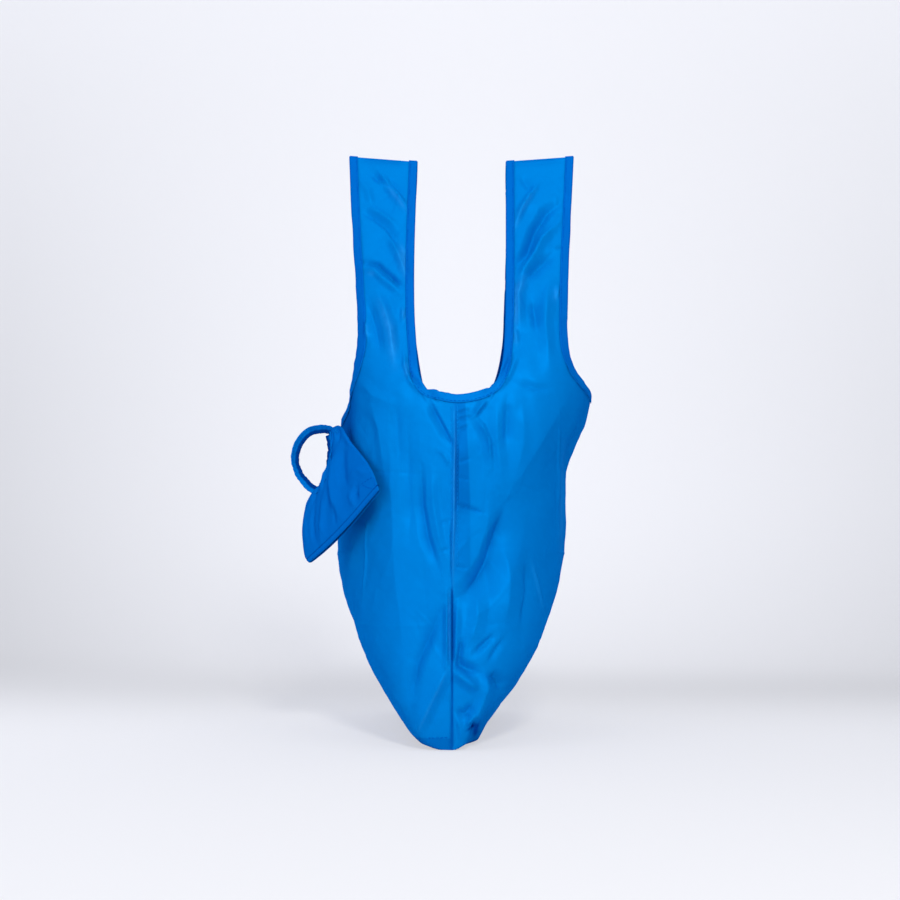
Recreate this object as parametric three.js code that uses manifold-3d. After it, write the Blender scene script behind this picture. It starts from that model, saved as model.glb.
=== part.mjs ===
// Foldable shopping bag of thin woven polyester, hanging open from its two handles.
//
// Two fabric panels are seamed together in a vertical plane (x = seamX) at the front, at the
// back and under the boxed bottom. Each panel ends in a handle: a strap that rises from the
// front of the bag, folds over and comes down at the back. One binding tape wraps the neck
// edge and one wraps the outer edge of each handle. A small stow pouch with a ribbon loop
// hangs from the edge of the left panel.
//
// Millimetres, +Z up. The origin is in the middle of the boxed bottom, on the floor.
import * as THREE from 'three';
import { mergeVertices } from 'three/addons/utils/BufferGeometryUtils.js';
import Module from 'manifold-3d';

const wasm = await Module();
wasm.setup();

// Overall sizes
const bodyHeight = 346; // floor to the lowest point of the neck edge
const handleHeight = 250; // neck edge to the fold at the top of the handles
const foldRadius = 5; // outside radius of that fold
const seamX = 2; // plane where the two panels meet

// Fabric and tape. The real cloth is about 0.1 mm thick, so these walls are stand-ins.
const fabricWall = 1.2;
const tapeWall = 0.6;
const tapeWidth = 9;
const clearance = 0.3; // gap between two pieces that are sewn together

// Outside form of the body, from the floor to the neck edge. at is a share of bodyHeight;
// left, right and depth are half widths in mm; ends and sides say how square a section is
// (2 and 2 make an ellipse, high numbers a rectangle, ends near 1 a fold at left and right).
const bodySections = [
  { at: 0.0, left: 33, right: 28, depth: 180, ends: 9, sides: 9 },
  { at: 0.06, left: 48, right: 40, depth: 182, ends: 6, sides: 6 },
  { at: 0.15, left: 70, right: 64, depth: 181, ends: 3.8, sides: 3.8 },
  { at: 0.3, left: 95, right: 96, depth: 175, ends: 2.6, sides: 2.6 },
  { at: 0.46, left: 112, right: 114, depth: 162, ends: 2.1, sides: 2.1 },
  { at: 0.6, left: 115, right: 119, depth: 154, ends: 2.0, sides: 2.1 },
  { at: 0.78, left: 113, right: 123, depth: 147, ends: 1.8, sides: 2.5 },
  { at: 0.92, left: 111, right: 143, depth: 139, ends: 1.5, sides: 3.6 },
  { at: 1.0, left: 111, right: 150, depth: 134, ends: 1.3, sides: 5 },
];
// The handles lean inwards from here to the fold as two flat sheets.
const handleTop = { left: 118, right: 146, ends: 2, sides: 14 };

// Neck opening between the two handles
const neckLeft = -39;
const neckRight = 60;
const neckRadiusLeft = 17;
const neckRadiusRight = 34;

// Outer edge of each handle, from the fold down to the lowest point of its side opening.
// up is measured from the neck edge's height.
const leftEdge = [
  { x: -104, up: 250 },
  { x: -95.5, up: 112 },
  { x: -92, up: 56 },
  { x: -95, up: 26 },
  { x: -103, up: -6 },
  { x: -112, up: -28 },
];
const rightEdge = [
  { x: 128, up: 250 },
  { x: 120.5, up: 146 },
  { x: 117.5, up: 74 },
  { x: 119, up: 43 },
  { x: 127, up: 22 },
  { x: 151, up: 0 },
];

// Heights above the neck edge between which a handle's edge turns into its side opening
const openingTurn = { low: 0, high: 66 };

// Stow pouch: a flat pocket with its mouth along the hem, in a plane of its own. It hangs on
// the side of the body, so its three corners keep their share of bodyHeight.
const pouchMouth = new THREE.Vector3(-69.3, -144, 0.7286 * bodyHeight); // right end of the hem
const pouchHemEnd = new THREE.Vector3(-142.3, -88.2, 0.509 * bodyHeight); // left end of the hem
const pouchTopCorner = new THREE.Vector3(-109.3, -60.2, 0.9078 * bodyHeight); // by the bag's edge
const pouchOutline = [
  { up: 0, from: 0, to: 116 },
  { up: 38, from: 2, to: 113 },
  { up: 67, from: 9, to: 84 },
  { up: 108, from: 17, to: 24 },
];
const pouchWall = 1.0;
const pouchPuffMouth = 4.6; // half thickness at the hem
const pouchPuffMiddle = 7; // half thickness in the middle
const pouchPuffTop = 2.4; // half thickness at the closed end
const pouchRoundness = 0.8; // 1 makes a section of the pouch an ellipse, less makes it fuller

// Ribbon loop of the pouch. It is sewn to the bag's edge, swings out and ends on the pouch:
// along and up lie in the pouch's plane, out is towards the viewer.
const ribbonWidth = 10;
const ribbonWall = 1.2;
const ribbonPath = [
  { along: 15, up: 117, out: 1 },
  { along: 24, up: 116, out: 1 },
  { along: 36, up: 121, out: 0 },
  { along: 49, up: 130, out: 0 },
  { along: 69, up: 138, out: 0 },
  { along: 87, up: 135, out: 0 },
  { along: 95, up: 122, out: 0 },
  { along: 95, up: 105, out: 0 },
  { along: 91, up: 86, out: 0 },
  { along: 83.7, up: 68.3, out: 0 },
];

// How finely the forms are divided
const pointsPerQuarter = 10;
const rowStep = 19;
const edgeSteps = 20;
const pouchPointsPerQuarter = 6;
const pouchRows = 8;
const ribbonRows = 18;
const finest = 0.03; // detail below this is left out of a cut piece
const curveSteps = 60; // steps along a quarter section before it is divided evenly
const noseAngles = [25, 50, 75]; // degrees of the rings over the fold of the handles

const foldHeight = bodyHeight + handleHeight - foldRadius; // centre of the fold
const farAway = 4 * (bodyHeight + handleHeight);

const cloth = (color) => new THREE.MeshStandardMaterial({ color, roughness: 0.62, metalness: 0 });
const panelCloth = cloth(0x0a78d2);
const tapeCloth = cloth(0x0a66bd);
const pouchCloth = cloth(0x0a70c8);

// Closed meshes and solids

// Joins a list of rings, each with the same number of points, into one closed mesh.
function skin(rings) {
  const count = rings[0].length;
  const points = rings.flat();
  const faces = [];
  for (let r = 0; r < rings.length - 1; r++) {
    for (let i = 0; i < count; i++) {
      const j = (i + 1) % count;
      const a = r * count;
      const b = a + count;
      faces.push([a + i, a + j, b + j], [a + i, b + j, b + i]);
    }
  }
  const last = (rings.length - 1) * count;
  for (const [start, flip] of [[0, true], [last, false]]) {
    const middle = new THREE.Vector3();
    for (let i = 0; i < count; i++) middle.addScaledVector(points[start + i], 1 / count);
    const tip = points.push(middle) - 1;
    for (let i = 0; i < count; i++) {
      const j = (i + 1) % count;
      faces.push(flip ? [tip, start + j, start + i] : [tip, start + i, start + j]);
    }
  }
  let volume = 0;
  for (const [a, b, c] of faces) {
    volume += points[a].dot(points[b].clone().cross(points[c]));
  }
  const triangles = volume < 0 ? faces.map(([a, b, c]) => [a, c, b]) : faces;
  return solid(points.flatMap((p) => p.toArray()), triangles.flat());
}

function solid(positions, indices) {
  const mesh = new wasm.Mesh({
    numProp: 3,
    vertProperties: Float32Array.from(positions),
    triVerts: Uint32Array.from(indices),
  });
  return new wasm.Manifold(mesh);
}

function solidOf(geometry) {
  geometry.deleteAttribute('normal');
  geometry.deleteAttribute('uv');
  const merged = mergeVertices(geometry);
  return solid(merged.attributes.position.array, merged.index.array);
}

function geometryOf(manifold) {
  const mesh = manifold.simplify(finest).getMesh();
  const geometry = new THREE.BufferGeometry();
  geometry.setAttribute('position', new THREE.BufferAttribute(mesh.vertProperties, 3));
  geometry.setIndex(new THREE.BufferAttribute(mesh.triVerts, 1));
  geometry.computeVertexNormals();
  return geometry;
}

// The bag's form

// Smooth value between the rows of a table, at place t of its key.
function smooth(table, key, name, t) {
  const last = table.length - 1;
  let i = 0;
  while (i < last - 1 && t > table[i + 1][key]) i++;
  const slope = (k) => {
    const low = table[Math.max(k - 1, 0)];
    const high = table[Math.min(k + 1, last)];
    return (high[name] - low[name]) / (high[key] - low[key]);
  };
  const a = table[i];
  const b = table[i + 1];
  const span = b[key] - a[key];
  const s = THREE.MathUtils.clamp((t - a[key]) / span, 0, 1);
  const rise = s * s * (3 - 2 * s);
  return (
    a[name] + (b[name] - a[name]) * rise +
    span * slope(i) * s * (1 - s) * (1 - s) -
    span * slope(i + 1) * s * s * (1 - s)
  );
}

// Sizes of the outside section at height z, up to the centre of the fold.
function sectionAt(z) {
  if (z <= bodyHeight) {
    const at = z / bodyHeight;
    const size = (name) => smooth(bodySections, 'at', name, at);
    return {
      left: size('left'),
      right: size('right'),
      depth: size('depth'),
      ends: size('ends'),
      sides: size('sides'),
    };
  }
  const rim = bodySections[bodySections.length - 1];
  const s = (z - bodyHeight) / (foldHeight - bodyHeight);
  const mix = (name) => THREE.MathUtils.lerp(rim[name], handleTop[name], s);
  return {
    left: mix('left'),
    right: mix('right'),
    depth: THREE.MathUtils.lerp(rim.depth, foldRadius, s),
    ends: mix('ends'),
    sides: mix('sides'),
  };
}

// One quarter of a section, from the side (y = 0) to the end (x = 0), evenly spaced.
function quarter(width, depth, ends, sides) {
  const curve = [];
  for (let i = 0; i <= curveSteps; i++) {
    const angle = (i / curveSteps) * (Math.PI / 2);
    const x = width * Math.cos(angle) ** (2 / sides);
    const y = depth * Math.sin(angle) ** (2 / ends);
    curve.push(new THREE.Vector2(i === curveSteps ? 0 : x, i === 0 ? 0 : y));
  }
  const lengths = [0];
  for (let i = 1; i <= curveSteps; i++) {
    lengths.push(lengths[i - 1] + curve[i].distanceTo(curve[i - 1]));
  }
  const points = [];
  let k = 1;
  for (let i = 0; i < pointsPerQuarter; i++) {
    const want = (lengths[curveSteps] * i) / pointsPerQuarter;
    while (lengths[k] < want) k++;
    const share = (want - lengths[k - 1]) / (lengths[k] - lengths[k - 1]);
    points.push(curve[k - 1].clone().lerp(curve[k], share));
  }
  points.push(curve[curveSteps]);
  return points;
}

// A whole ring around the bag at height z, moved outwards by grow.
function bagRing(section, z, grow, depth = section.depth + grow) {
  const { left, right, ends, sides } = section;
  const onRight = quarter(right + grow, depth, ends, sides);
  const onLeft = quarter(left + grow, depth, ends, sides);
  const n = pointsPerQuarter;
  const ring = [];
  for (let i = 0; i < n; i++) ring.push(new THREE.Vector3(onRight[i].x, onRight[i].y, z));
  for (let i = n; i > 0; i--) ring.push(new THREE.Vector3(-onLeft[i].x, onLeft[i].y, z));
  for (let i = 0; i < n; i++) ring.push(new THREE.Vector3(-onLeft[i].x, -onLeft[i].y, z));
  for (let i = n; i > 0; i--) ring.push(new THREE.Vector3(onRight[i].x, -onRight[i].y, z));
  return ring;
}

// The whole bag as a filled form, with its outside moved outwards by grow.
function bagForm(grow) {
  const rings = [];
  const bottom = -grow;
  rings.push(bagRing(sectionAt(0), bottom, grow));
  const rows = Math.round(foldHeight / rowStep);
  for (let i = 1; i <= rows; i++) {
    const z = (foldHeight * i) / rows;
    rings.push(bagRing(sectionAt(z), z, grow));
  }
  const radius = foldRadius + grow;
  for (const degrees of noseAngles) {
    const angle = THREE.MathUtils.degToRad(degrees);
    const z = foldHeight + radius * Math.sin(angle);
    rings.push(bagRing(sectionAt(foldHeight), z, grow, radius * Math.cos(angle)));
  }
  return skin(rings);
}

// Trimmed edges

// Moves an open outline sideways, to its left as it runs.
function shifted(outline, by) {
  const last = outline.length - 1;
  return outline.map((point, i) => {
    const along = outline[Math.min(i + 1, last)].clone().sub(outline[Math.max(i - 1, 0)]);
    const side = new THREE.Vector2(-along.y, along.x).normalize();
    return point.clone().addScaledVector(side, by);
  });
}

// Moves a handle's edge into the cloth: sideways on the strap, straight down at the side
// opening, where the cloth faces sideways and only its height shows.
function lowered(outline, sign, by) {
  return outline.map((point) => {
    const turn = THREE.MathUtils.smoothstep(point.y - bodyHeight, openingTurn.low, openingTurn.high);
    const angle = (turn * Math.PI) / 2;
    const into = new THREE.Vector2(-sign * Math.sin(angle), -Math.cos(angle));
    return point.clone().addScaledVector(into, by);
  });
}

// What is cut away above the neck, grown into the cloth by grow.
function neckCut(grow) {
  const top = bodyHeight + handleHeight + tapeWidth;
  const arc = (x, radius, start, end) =>
    new THREE.EllipseCurve(x, bodyHeight + radius, radius + grow, radius + grow, start, end)
      .getPoints(edgeSteps / 2);
  const outline = [
    new THREE.Vector2(neckLeft - grow, top),
    ...arc(neckLeft + neckRadiusLeft, neckRadiusLeft, Math.PI, 1.5 * Math.PI),
    ...arc(neckRight - neckRadiusRight, neckRadiusRight, 1.5 * Math.PI, 2 * Math.PI),
    new THREE.Vector2(neckRight + grow, top),
  ];
  return acrossBag(outline);
}

// What is cut away outside a handle, grown into the cloth by grow.
function sideCut(edge, sign, grow) {
  const points = edge.map(({ x, up }) => new THREE.Vector2(x, bodyHeight + up));
  const outline = new THREE.SplineCurve(points).getPoints(edgeSteps);
  const above = new THREE.Vector2(points[0].x, points[0].y + tapeWidth);
  const edgeLine = [above, ...outline];
  const moved = grow > 0 ? lowered(edgeLine, sign, grow) : shifted(edgeLine, -sign * grow);
  const end = moved[moved.length - 1];
  moved.push(new THREE.Vector2(sign * farAway, end.y), new THREE.Vector2(sign * farAway, above.y));
  return acrossBag(moved);
}

// Extrudes an outline in X and Z right through the bag along Y.
function acrossBag(outline) {
  const geometry = new THREE.ExtrudeGeometry(new THREE.Shape(outline), {
    depth: farAway,
    bevelEnabled: false,
  });
  geometry.translate(0, 0, -farAway / 2);
  geometry.rotateX(Math.PI / 2);
  return solidOf(geometry);
}

// Everything on one side of the seam plane.
function besideSeam(sign) {
  const box = new THREE.BoxGeometry(farAway, farAway, farAway);
  box.translate(seamX + sign * (farAway + clearance) / 2, 0, 0);
  return solidOf(box);
}

// Cloth between two moved faces of the bag's form.
function wall(outside, inside) {
  return bagForm(outside).subtract(bagForm(inside));
}

// Binding tape folded over the edge that a cut leaves.
function tape(cut) {
  const reach = clearance + tapeWall;
  const strip = cut(tapeWidth).subtract(cut(-reach));
  const folded = wall(reach, -fabricWall - reach).intersect(strip);
  const inside = wall(clearance, -fabricWall - clearance).subtract(cut(-clearance));
  return folded.subtract(inside);
}

const leftCut = (grow) => sideCut(leftEdge, -1, grow);
const rightCut = (grow) => sideCut(rightEdge, 1, grow);

const fabric = wall(0, -fabricWall)
  .subtract(neckCut(0))
  .subtract(leftCut(0))
  .subtract(rightCut(0));

// Stow pouch

// The pouch's plane: along the hem, up to the closed end, and out towards the viewer.
const pouchAlong = pouchHemEnd.clone().sub(pouchMouth).normalize();
const pouchOut = pouchTopCorner.clone().sub(pouchMouth).cross(pouchAlong).normalize();
const pouchUp = pouchAlong.clone().cross(pouchOut);

function onPouch(along, up, out) {
  return pouchMouth
    .clone()
    .addScaledVector(pouchAlong, along)
    .addScaledVector(pouchUp, up)
    .addScaledVector(pouchOut, out);
}

// A lens-shaped ring across the pouch at height up, moved outwards by grow.
function pouchRing(up, grow, height = up) {
  const top = pouchOutline[pouchOutline.length - 1].up;
  const from = smooth(pouchOutline, 'up', 'from', up) - grow;
  const to = smooth(pouchOutline, 'up', 'to', up) + grow;
  const share = up / top;
  const ends = THREE.MathUtils.lerp(pouchPuffMouth, pouchPuffTop, share);
  const thick = ends + (pouchPuffMiddle - ends) * Math.sin(Math.PI * share) + grow;
  const count = 4 * pouchPointsPerQuarter;
  const ring = [];
  for (let i = 0; i < count; i++) {
    const angle = (2 * Math.PI * i) / count;
    const across = Math.sign(Math.cos(angle)) * Math.abs(Math.cos(angle)) ** pouchRoundness;
    ring.push(onPouch((from + to) / 2 + (across * (to - from)) / 2, height, thick * Math.sin(angle)));
  }
  return ring;
}

function pouchForm(grow, mouth) {
  const top = pouchOutline[pouchOutline.length - 1].up;
  const rings = [];
  if (mouth < 0) rings.push(pouchRing(0, grow, mouth));
  for (let i = 0; i <= pouchRows; i++) {
    const up = (top * i) / pouchRows;
    rings.push(pouchRing(up, grow, i === pouchRows ? up + grow : up));
  }
  return skin(rings);
}

const pouch = pouchForm(0, 0).subtract(pouchForm(-pouchWall, -pouchWall));

// Ribbon on edge: its width stands across the pouch's plane.
function ribbon() {
  const path = new THREE.CatmullRomCurve3(
    ribbonPath.map(({ along, up, out }) => onPouch(along, up, out)),
  );
  const rings = [];
  for (let i = 0; i <= ribbonRows; i++) {
    const t = i / ribbonRows;
    const point = path.getPointAt(t);
    const flat = path.getTangentAt(t).cross(pouchOut).normalize();
    const wide = path.getTangentAt(t).cross(flat).normalize();
    const corner = (side, across) =>
      point
        .clone()
        .addScaledVector(flat, (side * ribbonWall) / 2)
        .addScaledVector(wide, (across * ribbonWidth) / 2);
    rings.push([corner(1, 1), corner(-1, 1), corner(-1, -1), corner(1, -1)]);
  }
  return skin(rings);
}

const bag = new THREE.Group();

function add(name, manifold, material) {
  const mesh = new THREE.Mesh(geometryOf(manifold), material);
  mesh.name = name;
  bag.add(mesh);
}

add('left_panel', fabric.intersect(besideSeam(-1)), panelCloth);
add('right_panel', fabric.intersect(besideSeam(1)), panelCloth);
add('neck_binding', tape(neckCut), tapeCloth);
add('left_handle_binding', tape(leftCut), tapeCloth);
add('right_handle_binding', tape(rightCut), tapeCloth);
add('stow_pouch', pouch, pouchCloth);
add('pouch_loop', ribbon(), tapeCloth);

export default bag;
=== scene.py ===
# %% [markdown]
# # A thin foldable shopping bag
# The bag is made of cloth about a tenth of a millimetre thick. It hangs open from its two
# handles. We load the fixed frame first: it says where every piece of the bag lies.

# %% Load the frame
import math

import bpy
import numpy as np
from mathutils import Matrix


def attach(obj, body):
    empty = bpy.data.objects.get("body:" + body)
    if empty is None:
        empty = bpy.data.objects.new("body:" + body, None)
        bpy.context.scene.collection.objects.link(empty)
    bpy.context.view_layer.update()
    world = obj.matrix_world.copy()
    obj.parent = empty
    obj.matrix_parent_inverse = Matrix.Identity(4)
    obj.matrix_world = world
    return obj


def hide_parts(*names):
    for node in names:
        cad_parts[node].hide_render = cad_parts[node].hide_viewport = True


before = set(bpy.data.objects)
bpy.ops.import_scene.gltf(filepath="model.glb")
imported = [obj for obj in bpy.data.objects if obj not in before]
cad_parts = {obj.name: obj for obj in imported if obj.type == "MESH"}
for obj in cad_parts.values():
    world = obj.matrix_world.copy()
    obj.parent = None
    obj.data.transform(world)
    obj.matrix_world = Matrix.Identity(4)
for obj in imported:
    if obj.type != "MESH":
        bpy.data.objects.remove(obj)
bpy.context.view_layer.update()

MM = 0.001  # all sizes below are in millimetres, like a sewing pattern
ROOT = "root"

# %% [markdown]
# ## Camera
# The photograph was taken level with the middle of the bag, from the side of its seam, with
# a long lens. A level camera keeps the two handles parallel.

# %% Camera
CAMERA_DISTANCE = 2400.0
CAMERA_HEIGHT = 290.0
LENS_MM = 92.0

camera_data = bpy.data.cameras.new("camera")
camera_data.lens = LENS_MM
camera_data.sensor_width = 36.0
camera = bpy.data.objects.new("camera", camera_data)
camera.location = (0.0, -CAMERA_DISTANCE * MM, CAMERA_HEIGHT * MM)
camera.rotation_euler = (math.pi / 2, 0.0, 0.0)
bpy.context.scene.collection.objects.link(camera)
bpy.context.scene.camera = camera

# %% [markdown]
# ## Small helpers
# A smooth step between two limits, vectors of length one, and places along a line. They are
# used all through the script.

# %% Number helpers


def step_up(value, low, high):
    """Rises smoothly from 0 at low to 1 at high."""
    t = np.clip((value - low) / (high - low), 0, 1)
    return t * t * (3 - 2 * t)


def unit(vectors):
    """The same directions with length one."""
    return vectors / np.linalg.norm(vectors, axis=-1, keepdims=True)


def run_along(line):
    """Distance from the start of a line to each of its points."""
    return np.concatenate([[0], np.cumsum(np.linalg.norm(np.diff(line, axis=0), axis=1))])


def at_run(places, run, values):
    """The rows of values at places along a run, column by column."""
    return np.stack([np.interp(places, run, values[:, k]) for k in range(values.shape[1])], -1)


# %% [markdown]
# ## The form of the bag
# The cloth can't stretch, so the way round the bag is about 870 mm at every height. It starts
# as the long boxed bottom, opens to an oval and closes again to the two flat straps. Each row
# says how wide and how deep the bag is at one height, and how square: 2 gives an ellipse, a
# high number a rectangle, and near 1 a pressed fold at the left and right ends.

# %% Sizes of the form
BODY_HEIGHT = 346.0  # floor to neck edge
HANDLE_HEIGHT = 250.0  # neck edge to the fold of the handles
FOLD_RADIUS = 5.0
SEAM_X = 2.0  # the plane where the two panels are sewn together
FOLD_HEIGHT = BODY_HEIGHT + HANDLE_HEIGHT - FOLD_RADIUS

# share of the body's height, left, right, depth, ends, sides
SECTIONS = np.array([
    (0.00, 33, 28, 180, 9.0, 9.0),
    (0.06, 48, 40, 182, 6.0, 6.0),
    (0.15, 70, 64, 181, 3.8, 3.8),
    (0.30, 95, 96, 175, 2.6, 2.6),
    (0.46, 112, 114, 162, 2.1, 2.1),
    (0.60, 115, 119, 154, 2.0, 2.1),
    (0.78, 113, 123, 147, 1.8, 2.5),
    (0.92, 111, 143, 139, 1.5, 3.6),
    (1.00, 111, 150, 134, 1.3, 5.0),
])
HANDLE_TOP = np.array((118, 146, FOLD_RADIUS, 2.0, 14.0))


def smooth_rows(table, t):
    """Smooth values between the rows of a table whose first column is the key."""
    keys, values = table[:, 0], table[:, 1:]
    last = len(keys) - 1
    low = np.maximum(np.arange(last + 1) - 1, 0)
    high = np.minimum(np.arange(last + 1) + 1, last)
    slopes = (values[high] - values[low]) / (keys[high] - keys[low])[:, None]
    t = np.clip(np.asarray(t, float), keys[0], keys[-1])
    i = np.clip(np.searchsorted(keys, t, side="right") - 1, 0, last - 1)
    span = (keys[i + 1] - keys[i])[..., None]
    s = ((t - keys[i])[..., None]) / span
    rise = s * s * (3 - 2 * s)
    return (
        values[i] + (values[i + 1] - values[i]) * rise
        + span * slopes[i] * s * (1 - s) ** 2
        - span * slopes[i + 1] * s * s * (1 - s)
    )


def plain_section(z):
    """Left, right, depth, ends and sides of the form at heights z, as columns."""
    body = smooth_rows(SECTIONS, z / BODY_HEIGHT)
    s = np.clip((z - BODY_HEIGHT) / (FOLD_HEIGHT - BODY_HEIGHT), 0, 1)[..., None]
    rim = SECTIONS[-1, 1:]
    handle = rim * (1 - s) + HANDLE_TOP * s
    rows = np.where((z <= BODY_HEIGHT)[..., None], body, handle)
    over = np.clip(z - FOLD_HEIGHT, 0, FOLD_RADIUS)
    nose = np.sqrt(np.maximum(FOLD_RADIUS**2 - over**2, 0))
    rows[..., 2] = np.where(z > FOLD_HEIGHT, nose, rows[..., 2])
    return rows


def section(z):
    """The same, with the turn from the body to the handles rounded."""
    z = np.asarray(z, float)
    near = step_up(36 - np.abs(z - BODY_HEIGHT), 0, 36)
    return sum(plain_section(z + near * shift) for shift in (-14, -5, 5, 14)) / 4


# height, and the share of its width that the boxed bottom keeps at its two ends
ENDS_LEFT = np.array([(0, 0.50), (5, 0.84), (20, 0.96), (44, 1.0), (60, 1.0)])
ENDS_RIGHT = np.array([(0, 0.20), (5, 0.53), (20, 0.74), (44, 0.90), (70, 0.97), (95, 1.0)])


def on_form(angle, z):
    """Points of the form. angle 0 is the right side, -90 degrees the near seam."""
    left, right, depth, ends, sides = np.moveaxis(section(z), -1, 0)
    c, s = np.cos(angle), np.sin(angle)
    reach = np.where(c > 0, right - SEAM_X, left + SEAM_X)
    across = reach * np.abs(c) ** (2 / sides)
    y = np.sign(s) * depth * np.abs(s) ** (2 / ends)
    at_end = step_up(np.abs(y), 95, 172)
    kept = np.where(c > 0, np.interp(z, *ENDS_RIGHT.T), np.interp(z, *ENDS_LEFT.T))
    x = SEAM_X + np.sign(c) * across * (1 - at_end * (1 - kept))
    return np.stack([x, y, np.broadcast_to(z, np.shape(x)) + 0.0 * x], -1)


def form_at(x, z):
    """Reach from the seam to the side that x is on, depth, ends and sides of the form."""
    left, right, depth, ends, sides = np.moveaxis(section(z), -1, 0)
    return np.where(x > SEAM_X, right - SEAM_X, left + SEAM_X), depth, ends, sides


def form_normal(points):
    """Outward directions at points of the form, from its implicit formula."""
    x, y, z = np.moveaxis(points, -1, 0)

    def level(x, y, z):
        reach, depth, ends, sides = form_at(x, z)
        across = np.abs(x - SEAM_X) / reach
        along = np.abs(y) / np.maximum(depth, 0.5)
        return across**sides + along**ends

    step = 0.2
    low = np.minimum(z, FOLD_HEIGHT - 1.0)
    normal = np.stack([
        level(x + step, y, low) - level(x - step, y, low),
        level(x, y + step, low) - level(x, y - step, low),
        level(x, y, low + step) - level(x, y, low - step),
    ], -1)
    length = np.linalg.norm(normal, axis=-1, keepdims=True)
    normal = np.where(length > 1e-9, normal / np.maximum(length, 1e-9), 0.0)
    lift = np.clip((z - FOLD_HEIGHT) / FOLD_RADIUS, 0, 1)[..., None]
    up = np.array((0.0, 0.0, 1.0))
    normal = normal * np.sqrt(1 - lift**2) + up * lift
    return normal / np.maximum(np.linalg.norm(normal, axis=-1, keepdims=True), 1e-9)


print("widest", on_form(np.array([0.0]), np.array([BODY_HEIGHT])))
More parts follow.
